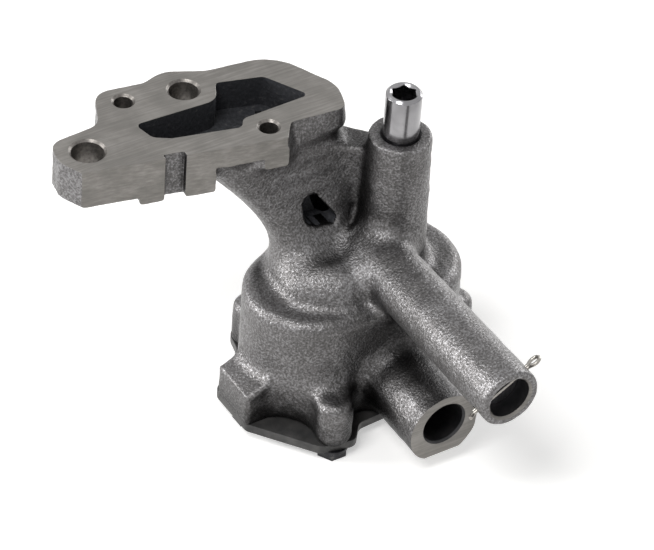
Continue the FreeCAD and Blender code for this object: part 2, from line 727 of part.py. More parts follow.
drive_gear = spur_gear("drive_gear", "shaft_dia / 2")
idler_gear = spur_gear("idler_gear", "shaft_dia / 2 + running_gap")
tie(idler_gear, "Placement.Base.x", IDLER[0])
HALF_PITCH = 180 / number("gear_teeth")
idler_gear.Placement = FreeCAD.Placement(
    FreeCAD.Vector(number(IDLER[0]), 0, number("joint_face + gear_end_gap")),
    FreeCAD.Rotation(FreeCAD.Vector(0, 0, 1), HALF_PITCH))

# Relief valve: cup piston, spring and spring seat, each along its own +Z, laid along -Y


def lay_in_tube(item, distance):
    """Turn a piece's +Z to -Y and put its base at a distance down the tube."""
    item.Placement = FreeCAD.Placement(
        FreeCAD.Vector(number("relief_x"), -number(distance), number("relief_z")),
        FreeCAD.Rotation(FreeCAD.Vector(1, 0, 0), 90))
    tie(item, "Placement.Base.x", "relief_x")
    tie(item, "Placement.Base.y", f"-({distance})")
    tie(item, "Placement.Base.z", "relief_z")


relief_piston = new_body("relief_piston")
cone(relief_piston, "piston_nose", "XY_Plane", ("0", "0", "0"),
     "relief_bore_dia / 2 - piston_gap - piston_nose", "relief_bore_dia / 2 - piston_gap", "piston_nose")
bar(relief_piston, "piston_skirt", "XY_Plane", ("0", "0", "piston_nose"),
    "relief_bore_dia / 2 - piston_gap", "piston_length - piston_nose")
bar(relief_piston, "piston_cup", "XY_Plane", ("0", "0", "piston_crown"),
    "relief_bore_dia / 2 - piston_gap - piston_wall", "piston_length", cut=True)
PISTON_START = "relief_bore_start + 0.1"
lay_in_tube(relief_piston, PISTON_START)

# Spring seat: a flanged cup with a spigot inside the spring, backed by the cotter pin
SEAT_BACK = f"cotter_y - ({COTTER_HOLE}) - 0.05"
spring_seat = new_body("spring_seat")
bar(spring_seat, "seat_cup", "XY_Plane", ("0", "0", "0"),
    "relief_bore_dia / 2 - seat_gap", "seat_skirt")
bar(spring_seat, "seat_hollow", "XY_Plane", ("0", "0", "-overlap"),
    "relief_bore_dia / 2 - seat_gap - seat_wall", "seat_skirt - seat_thickness + overlap", cut=True)
bar(spring_seat, "seat_spigot", "XY_Plane", ("0", "0", "seat_skirt - seat_thickness - seat_spigot_length"),
    "seat_spigot_radius", "seat_spigot_length")
bar(spring_seat, "seat_hole", "XY_Plane", ("0", "0", "-seat_spigot_length - overlap"),
    "seat_hole_dia / 2", "seat_skirt + seat_spigot_length + 2 * overlap", cut=True)
lay_in_tube(spring_seat, f"{SEAT_BACK} - seat_skirt")

# Relief spring: wire of six flats wound in short chords, between the piston and the seat
SPRING_START = f"{PISTON_START} + piston_crown + spring_end_gap"
SPRING_END = f"{SEAT_BACK} - seat_thickness - spring_end_gap"
turns = int(number("spring_turns"))
chords_per_turn = 14
wire_radius = number("spring_wire") / 2
coil_radius = number("spring_radius")
coil_height = number(f"({SPRING_END}) - ({SPRING_START}) - spring_wire")
coil_points = []
for index in range(turns * chords_per_turn + 1):
    turn = 2 * math.pi * index / chords_per_turn
    rise = wire_radius + coil_height * index / (turns * chords_per_turn)
    coil_points.append(FreeCAD.Vector(coil_radius * math.cos(turn), coil_radius * math.sin(turn), rise))
coil_path = Part.makePolygon(coil_points)
start_way = coil_points[1] - coil_points[0]
outward = FreeCAD.Vector(1, 0, 0)
across = start_way.cross(outward).normalize()
outward = across.cross(start_way).normalize()
flats = []
for index in range(6):
    turn = 2 * math.pi * index / 6
    flats.append(coil_points[0] + outward * (wire_radius * math.cos(turn))
                 + across * (wire_radius * math.sin(turn)))
wire_section = Part.makePolygon(flats + [flats[0]])
relief_spring = doc.addObject("Part::Feature", "relief_spring")
relief_spring.Label = "relief_spring"
relief_spring.Shape = coil_path.makePipeShell([wire_section], True, False, 1)
lay_in_tube(relief_spring, SPRING_START)

# Cotter pin: one round wire, folded at its eye, with one leg bent over outside the tube
leg = number("cotter_wire") * 0.52
reach = number("cotter_eye_reach")
eye = number("cotter_eye_radius")
fold = number("cotter_fold")
tail = number("tube_radius + cotter_tail")
bend = number("cotter_bend")
eye_centre = FreeCAD.Vector(reach, 0, 0)
joint_x = reach - math.sqrt((eye + fold) ** 2 - (leg + fold) ** 2)
share = eye / (eye + fold)


def eye_join(side):
    """Where the eye's circle meets the small arc that leads into a leg."""
    return FreeCAD.Vector(reach + (joint_x - reach) * share, side * (leg + fold) * share, 0)


def fold_middle(side):
    """Halfway along that small arc."""
    centre = FreeCAD.Vector(joint_x, side * (leg + fold), 0)
    toward = (eye_join(side) - centre).normalize() + FreeCAD.Vector(0, -side, 0)
    return centre + toward.normalize() * fold


leg_end = FreeCAD.Vector(-tail, leg, 0)
upper_joint = FreeCAD.Vector(joint_x, leg, 0)
lower_joint = FreeCAD.Vector(joint_x, -leg, 0)
bend_start = FreeCAD.Vector(-number("tube_radius") - 1.2, -leg, 0)
bend_centre = bend_start + FreeCAD.Vector(0, -bend, 0)
bend_turn = math.radians(number("cotter_bend_angle"))
bend_end = bend_centre + FreeCAD.Vector(-bend * math.sin(bend_turn), bend * math.cos(bend_turn), 0)
bend_middle = bend_centre + FreeCAD.Vector(
    -bend * math.sin(bend_turn / 2), bend * math.cos(bend_turn / 2), 0)
wire_points = [leg_end]
for arc, points_on_arc in (
        (Part.Arc(upper_joint, fold_middle(1), eye_join(1)), 4),
        (Part.Arc(eye_join(1), eye_centre + FreeCAD.Vector(eye, 0, 0), eye_join(-1)), 15),
        (Part.Arc(eye_join(-1), fold_middle(-1), lower_joint), 4),
        (Part.Arc(bend_start, bend_middle, bend_end), 5)):
    for point in arc.toShape().discretize(Number=points_on_arc):
        if point.distanceToPoint(wire_points[-1]) > 0.01:
            wire_points.append(point)
wire_run = Part.makePolygon(wire_points)
cotter_flats = 8
rim_points = []
for index in range(cotter_flats + 1):
    turn = 2 * math.pi * (index + 0.5) / cotter_flats
    rim_points.append(leg_end + FreeCAD.Vector(
        0, number("cotter_wire") / 2 * math.cos(turn), number("cotter_wire") / 2 * math.sin(turn)))
cotter_pin = doc.addObject("Part::Feature", "cotter_pin")
cotter_pin.Label = "cotter_pin"
cotter_pin.Shape = wire_run.makePipeShell([Part.makePolygon(rim_points)], True, False, 1)
cotter_pin.Placement = FreeCAD.Placement(
    FreeCAD.Vector(number("relief_x"), -number("cotter_y"), number("relief_z")),
    FreeCAD.Rotation(FreeCAD.Vector(0, 1, 0), -number("cotter_tilt")))
tie(cotter_pin, "Placement.Base.x", "relief_x")
tie(cotter_pin, "Placement.Base.y", "-cotter_y")
tie(cotter_pin, "Placement.Base.z", "relief_z")

doc.recompute()

# Check every object, then write each sub-part

sub_parts = [item for item in doc.Objects
             if item.TypeId == "PartDesign::Body" or item.TypeId == "Part::Feature"]
for item in doc.Objects:
    if "Invalid" in item.State or "Error" in item.State:
        raise ValueError(f"{item.Name} failed: {item.State}")
for item in sub_parts:
    if item.Shape.isNull() or not item.Shape.isValid():
        raise ValueError(f"{item.Label} has no valid shape")
    print(item.Label, "solids", len(item.Shape.Solids), "volume", round(item.Shape.Volume, 1))
    item.Shape.exportStep(os.path.join("parts", f"{item.Label}.step"))
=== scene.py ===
import math

import bpy
import numpy as np
from mathutils import Matrix, Vector


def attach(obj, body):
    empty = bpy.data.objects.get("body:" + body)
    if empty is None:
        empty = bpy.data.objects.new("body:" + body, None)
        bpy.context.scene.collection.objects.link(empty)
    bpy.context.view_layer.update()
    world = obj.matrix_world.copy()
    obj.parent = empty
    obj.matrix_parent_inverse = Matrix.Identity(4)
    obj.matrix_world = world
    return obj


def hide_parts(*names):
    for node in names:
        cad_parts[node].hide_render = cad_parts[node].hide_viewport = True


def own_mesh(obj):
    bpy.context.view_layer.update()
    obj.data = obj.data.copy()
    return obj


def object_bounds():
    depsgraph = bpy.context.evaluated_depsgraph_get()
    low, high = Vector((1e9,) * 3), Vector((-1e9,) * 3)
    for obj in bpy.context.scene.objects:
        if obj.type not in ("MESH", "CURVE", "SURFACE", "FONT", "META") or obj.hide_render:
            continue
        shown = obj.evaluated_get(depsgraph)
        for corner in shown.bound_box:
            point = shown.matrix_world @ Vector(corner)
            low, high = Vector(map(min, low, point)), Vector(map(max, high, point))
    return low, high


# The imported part: every shape below is laid over it, in the same frame.
# Lengths here are in millimetres until a mesh is made.
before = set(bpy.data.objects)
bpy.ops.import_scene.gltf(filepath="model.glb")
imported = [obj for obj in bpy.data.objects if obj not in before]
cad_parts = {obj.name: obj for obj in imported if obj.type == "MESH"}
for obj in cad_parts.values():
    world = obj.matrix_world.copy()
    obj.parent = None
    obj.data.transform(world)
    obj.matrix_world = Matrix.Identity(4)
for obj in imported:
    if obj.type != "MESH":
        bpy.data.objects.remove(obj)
cad_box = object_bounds()
MM = 0.001

# The pump body is one grey iron casting made in a sand mould. Its walls run into each other
# through soft fillets, and its skin was shot blasted. The raw casting comes first, a little
# overlong wherever a cutter later takes it down to a flat face.

# It is worked out on a fine grid of samples, each the distance to the skin, negative in the iron
cell = 0.65
low_corner = np.array([-120.0, -94.0, -112.0])
high_corner = np.array([40.0, 64.0, 4.0])
steps = np.ceil((high_corner - low_corner) / cell).astype(int)
grid_x, grid_y, grid_z = (
    (low_corner[axis] + cell * np.arange(steps[axis])).astype(np.float32) for axis in range(3)
)
GX = grid_x[:, None, None]
GY = grid_y[None, :, None]
GZ = grid_z[None, None, :]


def rounded_outline(corners, per_corner=8):
    """Points round a closed outline whose corners (x, y, radius) are turned by arcs."""
    points = []
    count = len(corners)
    for index in range(count):
        here = Vector(corners[index][:2])
        radius = corners[index][2]
        back = (Vector(corners[index - 1][:2]) - here).normalized()
        on = (Vector(corners[(index + 1) % count][:2]) - here).normalized()
        half = back.angle(on) / 2
        if radius == 0:
            points.append(here)
            continue
        reach = radius / math.tan(half)
        centre = here + (back + on).normalized() * (radius / math.sin(half))
        first = here + back * reach - centre
        sweep = first.angle_signed(here + on * reach - centre)
        for step in range(per_corner + 1):
            turn = -sweep * step / per_corner
            points.append(centre + Vector((
                first.x * math.cos(turn) - first.y * math.sin(turn),
                first.x * math.sin(turn) + first.y * math.cos(turn))))
    return np.array([tuple(point) for point in points])


def slot_outline(centre_a, radius_a, centre_b, radius_b, per_end=24):
    """Points round two circles joined by their common tangents."""
    a = np.array(centre_a)
    b = np.array(centre_b)
    heading = math.atan2(b[1] - a[1], b[0] - a[0])
    lean = math.acos((radius_a - radius_b) / np.linalg.norm(b - a))
    points = []
    for centre, radius, start, sweep in (
            (a, radius_a, heading + lean, 2 * math.pi - 2 * lean),
            (b, radius_b, heading - lean, 2 * lean)):
        for turn in np.linspace(start, start + sweep, per_end):
            points.append(centre + radius * np.array([math.cos(turn), math.sin(turn)]))
    return np.array(points)


def outline_distance(outline, across, along):
    """Signed distance to a closed outline over a grid of two coordinates, negative inside."""
    across, along = np.broadcast_arrays(across, along)
    nearest = np.full(across.shape, 1e6, np.float32)
    inside = np.zeros(across.shape, bool)
    for start, end in zip(outline, np.roll(outline, -1, axis=0)):
        edge = end - start
        if edge @ edge == 0:
            continue
        dx = across - start[0]
        dy = along - start[1]
        share = np.clip((dx * edge[0] + dy * edge[1]) / (edge @ edge), 0, 1)
        nearest = np.minimum(nearest, (dx - share * edge[0]) ** 2 + (dy - share * edge[1]) ** 2)
        if edge[1] != 0:
            between = (start[1] > along) != (end[1] > along)
            inside ^= between & (across < start[0] + edge[0] * (along - start[1]) / edge[1])
    distance = np.sqrt(nearest)
    return np.where(inside, -distance, distance).astype(np.float32)


def rounded_prism(flat, height, low, high, rounding):
    """A flat shape drawn out between two levels, with its rims rounded."""
    edge = flat + rounding
    end = np.abs(height - (low + high) / 2) - (high - low) / 2 + rounding
    outside = np.sqrt(np.maximum(edge, 0) ** 2 + np.maximum(end, 0) ** 2)
    return outside + np.minimum(np.maximum(edge, end), 0) - rounding


def upright_slab(outline, low, high, rounding):
    """An outline seen from above, drawn up from one level to another."""
    flat = outline_distance(outline, GX[:, :, 0], GY[:, :, 0])[:, :, None]
    return rounded_prism(flat, GZ, low, high, rounding)


def slab_to_back(outline, front, back, rounding):
    """An outline seen from the front, drawn from front to back."""
    flat = outline_distance(outline, GX[:, 0, :], GZ[:, 0, :])[:, None, :]
    return rounded_prism(flat, GY, front, back, rounding)


def upright_cone(centre, low, low_radius, high, high_radius, rounding):
    """A round tower that narrows evenly."""
    radius = low_radius + (high_radius - low_radius) * (GZ - low) / (high - low)
    flat = np.sqrt((GX - centre[0]) ** 2 + (GY - centre[1]) ** 2) - radius
    return rounded_prism(flat, GZ, low, high, rounding)


def bar_to_front(axis, root, end, radius, rounding):
    """A round bar that points to the front."""
    flat = np.sqrt((GX - axis[0]) ** 2 + (GZ - axis[1]) ** 2) - radius
    return rounded_prism(flat, GY, end, root, rounding)


def melt(one, other, fillet):
    """Both shapes as one, with a fillet of about that radius where they meet."""
    # A blend over 2.4 radii looks like an arc of that radius
    reach = 2.4 * fillet
    overlap = np.maximum(reach - np.abs(one - other), 0) / reach
    return np.minimum(one, other) - overlap ** 2 * reach / 4


# Gear housing: a figure of eight round both gears, with a rib round the outlet passage behind it
GEAR_CENTRES = 31.75
DRIVE_AXIS = (0.0, 0.0)
IDLER_AXIS = (-GEAR_CENTRES, 0.0)
OUTLET_CORE = (-15.9, 17.5)
JOINT_FACE = -106.0
CUT_STOCK = 1.5
FOOT = JOINT_FACE - CUT_STOCK
HOUSING_TOP = -62.0
RIB_TOP = HOUSING_TOP - 2
DRIVE_SIDE_RADIUS = 25.8
IDLER_SIDE_RADIUS = 24.6
RIB_ROOT_RADIUS = 12.5
RIB_RADIUS = 10.5
housing_outline = slot_outline(DRIVE_AXIS, DRIVE_SIDE_RADIUS, IDLER_AXIS, IDLER_SIDE_RADIUS)
casting = upright_slab(housing_outline, FOOT, HOUSING_TOP, rounding=4.5)
rib_outline = slot_outline((OUTLET_CORE[0], 0.0), RIB_ROOT_RADIUS, OUTLET_CORE, RIB_RADIUS)
rib = upright_slab(rib_outline, FOOT, RIB_TOP, rounding=2.0)
casting = melt(casting, rib, fillet=2.0)

# Cover lugs on its foot: four round ones, from (screw, root in the wall, height), and a wedge
SCREWS = [(-39.5, -30.8), (-56.4, -2.5), (-38.3, 28.0), (8.0, 28.0), (28.0, -3.0)]
ROUND_LUGS = [
    (SCREWS[0], (-33.0, -12.0), 17.0),
    (SCREWS[2], (-33.5, 10.0), 17.0),
    (SCREWS[3], (2.0, 10.0), 18.0),
    (SCREWS[4], (10.0, -1.0), 16.5),
]
LUG_ROOT_RADIUS = 8.6
LUG_RADIUS = 6.6
for place, root, rise in ROUND_LUGS:
    lug_outline = slot_outline(root, LUG_ROOT_RADIUS, place, LUG_RADIUS)
    lug = upright_slab(lug_outline, FOOT, JOINT_FACE + rise, rounding=3.4)
    casting = melt(casting, lug, fillet=3.0)
wedge_outline = np.array([(-64.0, FOOT), (-64.0, -93.5), (-55.0, -89.0), (-48.0, -89.0), (-48.0, FOOT)])
wedge = slab_to_back(wedge_outline, front=-12.5, back=7.5, rounding=1.4)
casting = melt(casting, wedge, fillet=1.6)

# Drive shaft tower
TOWER_FOOT = HOUSING_TOP - 6
TOWER_FOOT_RADIUS = 12.6
TOWER_TOP = -7.8
TOWER_TOP_RADIUS = 11.1
tower = upright_cone(DRIVE_AXIS, TOWER_FOOT, TOWER_FOOT_RADIUS, TOWER_TOP, TOWER_TOP_RADIUS, rounding=1.1)
casting = melt(casting, tower, fillet=2.4)

# Neck: it leans from over the idler shaft out to the flange, and swells into a dome at its foot
NECK_RAILS = np.array([
    [(-41.5, -10), (-27, -18.4), (-12, -13), (-4, 2), (-6, 18), (-18, 29), (-36, 21), (-44.5, 4)],
    [(-38, 5.5), (-26, 4.5), (-14, 5), (-7, 13), (-10, 26), (-23, 34), (-37, 29), (-42.5, 16)],
    [(-53, 14), (-36, 11), (-18, 11.5), (-11.5, 20), (-15, 34), (-31, 44), (-48, 42), (-57, 28)],
    [(-66, 16.5), (-42, 13.5), (-19, 14.5), (-13.5, 22), (-17, 37), (-33, 48), (-56, 52), (-70, 34)],
], float)
NECK_LEVELS = np.array([-63.0, -45.0, -25.0, -5.6])
NECK_FOOT = NECK_LEVELS[0]
NECK_TOP = NECK_LEVELS[-1]


def neck_outline(level, per_rail=6):
    """The neck's outline at a level: cubic rails upwards, a smooth closed curve around."""
    rails = np.zeros((8, 2))
    for mine in range(4):
        share = 1.0
        for other in range(4):
            if other != mine:
                share *= (level - NECK_LEVELS[other]) / (NECK_LEVELS[mine] - NECK_LEVELS[other])
        rails += share * NECK_RAILS[mine]
    # Slopes at the rails that make the closed cubic curve smooth
    spread = 4 * np.eye(8) + np.roll(np.eye(8), 1, axis=0) + np.roll(np.eye(8), -1, axis=0)
    slopes = np.linalg.solve(spread, 3 * (np.roll(rails, -1, axis=0) - np.roll(rails, 1, axis=0)))
    on = np.linspace(0, 1, per_rail, endpoint=False)[:, None]
    points = []
    for index in range(8):
        after = (index + 1) % 8
        points.append(
            rails[index] * (1 + 2 * on) * (1 - on) ** 2 + slopes[index] * on * (1 - on) ** 2
            + rails[after] * on ** 2 * (3 - 2 * on) + slopes[after] * on ** 2 * (on - 1))
    return np.concatenate(points)


FAR_OUTSIDE = 50.0
NECK_STARTS = NECK_FOOT - 12
NECK_SUNK = 4
DOME_BOTTOM = NECK_FOOT - 15
DOME_TOP = NECK_FOOT + 12.5
neck = np.full((len(grid_x), len(grid_y), len(grid_z)), FAR_OUTSIDE, np.float32)
for layer, level in enumerate(grid_z):
    held = min(max(level, NECK_FOOT), NECK_TOP)
    if level > NECK_STARTS:
        neck[:, :, layer] = outline_distance(neck_outline(held), GX[:, :, 0], GY[:, :, 0])
neck = rounded_prism(neck, GZ, NECK_FOOT - NECK_SUNK, NECK_TOP, rounding=0.5)
dome = upright_slab(neck_outline(NECK_FOOT), DOME_BOTTOM, DOME_TOP, rounding=12.0)
neck = melt(neck, dome, fillet=2.0)

# Web that ties the tower to the neck
web_outline = np.array([(-24.0, 17.0), (-6.0, 3.5), (3.0, 8.8), (-16.0, 28.0)])
WEB_FOOT = HOUSING_TOP - 4
WEB_TOP = -15.5
web = upright_slab(web_outline, WEB_FOOT, WEB_TOP, rounding=1.5)
casting = melt(casting, melt(neck, web, fillet=2.5), fillet=1.5)

# Relief valve tube, which widens a little to its end, and the inlet boss under it
TUBE_AXIS = (-9.6, -54.3)
TUBE_ROOT = 2.0
TUBE_END = -90.0
TUBE_RADIUS = 10.65
TUBE_FLARE = 0.006
tube = bar_to_front(TUBE_AXIS, TUBE_ROOT, TUBE_END, TUBE_RADIUS - TUBE_FLARE * GY, rounding=1.2)
casting = melt(casting, tube, fillet=2.6)
INLET_AXIS = (-10.6, -92.6)
INLET_FACE = -56.0
BOSS_ROOT = -18.0
BOSS_RADIUS = 13.7
BOSS_HANGS = 1.7
inlet_boss = bar_to_front((INLET_AXIS[0], INLET_AXIS[1] - BOSS_HANGS), BOSS_ROOT, INLET_FACE - CUT_STOCK,
                          BOSS_RADIUS, rounding=0.5)
casting = melt(casting, inlet_boss, fillet=3.0)

# Mounting flange: the thick arm, the thin lip, and the bosses under them
FLANGE_THICKNESS = 15.2
LIP_THICKNESS = 7.6
FRONT_LEFT = (-112.0, 22.7)
FRONT_RIGHT = (-40.9, 7.5)
ARM = [(*FRONT_LEFT, 0), (-116, 31.5, 6), (-114, 41.5, 6), (-94.5, 43, 6), (-87, 59, 6.5), (-69, 55.9, 14),
       (-66, 56.8, 0), (-65.5, 12.76, 0)]
LIP = [(-69.5, 13.61, 0), (-69.5, 56, 0), (-60.5, 58.6, 9), (-47, 52.3, 12), (-22, 49, 17),
       (-10.6, 25, 11), (-14.5, 12.2, 4), (-35.5, 14.3, 2.5), (*FRONT_RIGHT, 0)]
SECOND_BOLT = (-59.1, 46.6)
SECOND_BOSS_RADIUS = 10.1
STEP_TOP = -10.0
STEP_BOTTOM = -FLANGE_THICKNESS - 3.0
TAB_TOP = -4.0
TAB_BOTTOM = -LIP_THICKNESS - 4.7
along_front = (Vector(FRONT_RIGHT) - Vector(FRONT_LEFT)).normalized()
out_front = Vector((along_front.y, -along_front.x))
# Square corners nearer to the front than this lie on the machined front side
FRONT_SIDE_ENDS = 25.0


def stock_in_front(corners):
    """The same outline with its two machined front corners moved out by the cutter's stock."""
    moved = []
    for index, corner in enumerate(corners):
        if corner[2] == 0 and corner[1] < FRONT_SIDE_ENDS:
            before = corner[:2] == FRONT_RIGHT
            beside = corners[index - 1] if before else corners[(index + 1) % len(corners)]
            edge = (Vector(corner[:2]) - Vector(beside[:2])).normalized()
            if corner[:2] not in (FRONT_LEFT, FRONT_RIGHT):
                edge = out_front
            corner = (*(Vector(corner[:2]) + edge * (CUT_STOCK / edge.dot(out_front))), 0)
        moved.append(corner)
    return moved


arm_outline = rounded_outline(stock_in_front(ARM))
lip_outline = rounded_outline(stock_in_front(LIP))
step_outline = np.array([(-92, 16.9), (-86, 46), (-66, 50), (-65.5, 11.2)])
tab_outline = np.array([(-48, 7.5), (-40.9, 6.0), (-36.6, 12.5), (-38, 20), (-50, 20)])
flange = upright_slab(arm_outline, -FLANGE_THICKNESS, CUT_STOCK, rounding=1.0)
flange = np.minimum(flange, upright_slab(lip_outline, -LIP_THICKNESS, CUT_STOCK, rounding=0.8))
second_boss = upright_cone(SECOND_BOLT, -FLANGE_THICKNESS, SECOND_BOSS_RADIUS,
                           CUT_STOCK, SECOND_BOSS_RADIUS, rounding=0.8)
flange = np.minimum(flange, second_boss)
flange = np.minimum(flange, upright_slab(step_outline, STEP_BOTTOM, STEP_TOP, rounding=0.8))
flange = np.minimum(flange, upright_slab(tab_outline, TAB_BOTTOM, TAB_TOP, rounding=1.0))
casting = melt(casting, flange, fillet=2.6)

# Sand leaves a slightly wavy skin: low swells a few millimetres wide, from (width, height). The
# skin is set in a little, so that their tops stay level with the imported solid.
SWELLS = ((11.0, 0.07), (7.0, 0.05), (4.5, 0.035), (3.0, 0.03))
WAYS_EACH = 4
SKIN_SET_IN = 0.1
rng = np.random.default_rng(7)
swell = np.zeros_like(casting)
for width, height in SWELLS:
    for turn in range(WAYS_EACH):
        way = rng.normal(size=3)
        way *= 2 * math.pi / width / np.linalg.norm(way)
        swell += height / 2 * np.sin(
            way[0] * GX + way[1] * GY + way[2] * GZ + rng.uniform(0, 2 * math.pi)).astype(np.float32)
casting += swell + SKIN_SET_IN


def hollow(solid_field, hole_field, rounding):
    """A shape with a cast hole in it, whose rim is rounded."""
    return -melt(-solid_field, hole_field, rounding)


# Cast groove across the flange's front side, and the core hole in the front of the neck
groove_outline = np.array([(-83.3, 12.0), (-76.5, 11.0), (-75.8, 17.2), (-83.2, 18.8)])
groove = upright_slab(groove_outline, low=-26.0, high=6.0, rounding=0.8)
casting = hollow(casting, groove, rounding=0.5)
WINDOW = [(-31.3, -41.6, 3.0), (-31.4, -34.6, 2.0), (-29.4, -32.4, 1.5), (-26.3, -32.0, 1.2),
          (-19.0, -42.4, 1.2), (-20.8, -43.9, 1.2), (-27.0, -43.4, 4.0)]
WINDOW_FRONT = -4.0
WINDOW_BACK = 14.0
window_outline = rounded_outline(WINDOW)
window_hole = slab_to_back(window_outline, WINDOW_FRONT, WINDOW_BACK, rounding=0.8)
casting = hollow(casting, window_hole, rounding=0.5)

# The four samples or cells round a grid edge, and how far inside the iron a filled sample lies,
# as a share of a cell
AROUND_EDGE = ((0, 0), (1, 0), (1, 1), (0, 1))
JUST_INSIDE = 0.05


def skin_of(field, low, step):
    """Points and four-sided faces of the surface where a field on a regular grid changes sign."""
    # Four samples that alternate would pinch the skin together, so such a spot is filled
    pinched = True
    while pinched:
        solid = field < 0
        pinched = False
        for axis in range(3):
            one, two = [other for other in range(3) if other != axis]
            sides = []
            for shift_one, shift_two in AROUND_EDGE:
                window = [slice(None)] * 3
                window[one] = slice(shift_one, field.shape[one] - 1 + shift_one)
                window[two] = slice(shift_two, field.shape[two] - 1 + shift_two)
                sides.append(solid[tuple(window)])
            spots = np.argwhere((sides[0] == sides[2]) & (sides[1] == sides[3]) & (sides[0] != sides[1]))
            for shift_one, shift_two in AROUND_EDGE:
                at = spots.copy()
                at[:, one] += shift_one
                at[:, two] += shift_two
                at = tuple(at.T)
                field[at] = np.minimum(field[at], -JUST_INSIDE * step)
            pinched = pinched or len(spots) > 0
    # One point in each cell that the skin passes: the mean of where it crosses the cell's edges
    cells = tuple(np.array(field.shape) - 1)
    total = np.zeros(cells + (3,), np.float32)
    crossings = np.zeros(cells, np.float32)
    base = [np.arange(size, dtype=np.float32) for size in cells]
    grid_edges = []
    for axis in range(3):
        near = [slice(None)] * 3
        far = [slice(None)] * 3
        near[axis] = slice(None, -1)
        far[axis] = slice(1, None)
        before = field[tuple(near)]
        after = field[tuple(far)]
        crosses = solid[tuple(near)] != solid[tuple(far)]
        share = np.where(crosses, before / np.where(crosses, before - after, 1), 0)
        grid_edges.append((crosses, solid[tuple(near)]))
        one, two = (axis + 1) % 3, (axis + 2) % 3
        for shift_one in (0, 1):
            for shift_two in (0, 1):
                window = [None] * 3
                window[axis] = slice(None)
                window[one] = slice(shift_one, cells[one] + shift_one)
                window[two] = slice(shift_two, cells[two] + shift_two)
                hit = crosses[tuple(window)].astype(np.float32)
                crossings += hit
                total[..., axis] += share[tuple(window)] * hit
                total[..., one] += shift_one * hit
                total[..., two] += shift_two * hit
    used = crossings > 0
    number_of = np.full(cells, -1, np.int64)
    number_of[used] = np.arange(used.sum())
    corner = np.stack(np.meshgrid(*base, indexing="ij"), axis=-1)[used]
    points = low + step * (corner + total[used] / crossings[used][:, None])
    # One face across each grid edge that the skin crosses, turned so that it looks outwards
    faces = []
    for axis in range(3):
        crosses, starts_solid = grid_edges[axis]
        one, two = (axis + 1) % 3, (axis + 2) % 3
        place = np.argwhere(crosses)
        inner = (place[:, one] > 0) & (place[:, one] < cells[one]) \
            & (place[:, two] > 0) & (place[:, two] < cells[two])
        place = place[inner]
        ring = []
        for shift_one, shift_two in AROUND_EDGE:
            cell_at = place.copy()
            cell_at[:, one] -= shift_one
            cell_at[:, two] -= shift_two
            ring.append(number_of[tuple(cell_at.T)])
        quad = np.stack(ring, axis=1)
        flip = ~starts_solid[tuple(place.T)]
        quad[flip] = quad[flip][:, ::-1]
        faces.append(quad)
    return points, np.concatenate(faces)


def mesh_object(name, points, faces):
    """A mesh object from points in millimetres."""
    mesh = bpy.data.meshes.new(name)
    mesh.from_pydata((np.asarray(points, float) * MM).tolist(), [], [list(face) for face in faces])
    mesh.validate()
    item = bpy.data.objects.new(name, mesh)
    bpy.context.scene.collection.objects.link(item)
    return item


pump_casting = mesh_object("pump_casting", *skin_of(casting, low_corner, cell))


# The casting's finishes: the skin as it left the mould and the shot, and what each cutting tool
# and core leaves behind
def linear(colour):
    """An sRGB hex colour as linear red, green, blue and alpha."""
    shares = [int(colour[at:at + 2], 16) / 255 for at in (1, 3, 5)]
    return [s / 12.92 if s <= 0.04045 else ((s + 0.055) / 1.055) ** 2.4 for s in shares] + [1.0]


def add_node(tree, kind, inputs=None, stops=None, **settings):
    """Add one shader node: its settings, its (place, hex colour) stops, then its inputs.

    An input is a plain value, another node's output, or a node whose first output is meant.
    """
    node = tree.nodes.new("ShaderNode" + kind)
    for name, value in settings.items():
        setattr(node, name, value)
    if stops:
        elements = node.color_ramp.elements
        while len(elements) < len(stops):
            elements.new(1.0)
        for element, (place, colour) in zip(elements, stops):
            element.position = place
            element.color = linear(colour)
    for socket, value in (inputs or {}).items():
        if isinstance(value, bpy.types.Node):
            value = value.outputs[0]
        if isinstance(value, bpy.types.NodeSocket):
            tree.links.new(value, node.inputs[socket])
        else:
            node.inputs[socket].default_value = value
    return node


def new_finish(name):
    """An empty material with its node tree and the object's own coordinates, in metres."""
    finish = bpy.data.materials.new(name)
    finish.use_nodes = True
    tree = finish.node_tree
    tree.nodes.clear()
    place = add_node(tree, "TexCoord").outputs["Object"]
    return finish, tree, place


def per_metre(size_mm):
    """Texture scale for a pattern whose features are this many millimetres apart."""
    return 1000 / size_mm


# Noise seldom leaves this span, so a finish's gloss or tone is spread over it
NOISE = {"From Min": 0.3, "From Max": 0.7}

# Shot blasted grey iron: dark warm grey, peened all over by shot about 0.8 mm across, so that
# highlights break up into glints; hollows and creases are darkened by painted shade.
skin_iron, tree, place = new_finish("shot_blasted_cast_iron")
patches = add_node(tree, "TexNoise", {"Vector": place, "Scale": per_metre(16), "Detail": 2.0})
peening = add_node(tree, "TexNoise", {
    "Vector": place, "Scale": per_metre(0.8), "Detail": 2.0, "Roughness": 0.6})
dimples = add_node(tree, "TexVoronoi", {"Vector": place, "Scale": per_metre(0.7)}, feature="SMOOTH_F1")
tone = add_node(tree, "MapRange", {**NOISE, "Value": patches, "To Min": -0.06, "To Max": 0.06})
speckled = add_node(tree, "Math", {0: peening, 1: tone}, operation="ADD")
unshaded_colour = add_node(tree, "ValToRGB", {"Fac": speckled}, stops=[
    (0.32, "#525150"), (0.5, "#676565"), (0.66, "#868586")])
# Painted shade: ambient occlusion over 40 mm darkens hollows and creases, down to near black
painted_shade_ao = add_node(tree, "AmbientOcclusion", {"Distance": 40 * MM}, samples=12)
painted_shade_colour = add_node(tree, "ValToRGB", {"Fac": painted_shade_ao.outputs["AO"]}, stops=[
    (0.35, "#282727"), (0.63, "#7a7979"), (0.72, "#eeeeee"), (0.8, "#ffffff")])
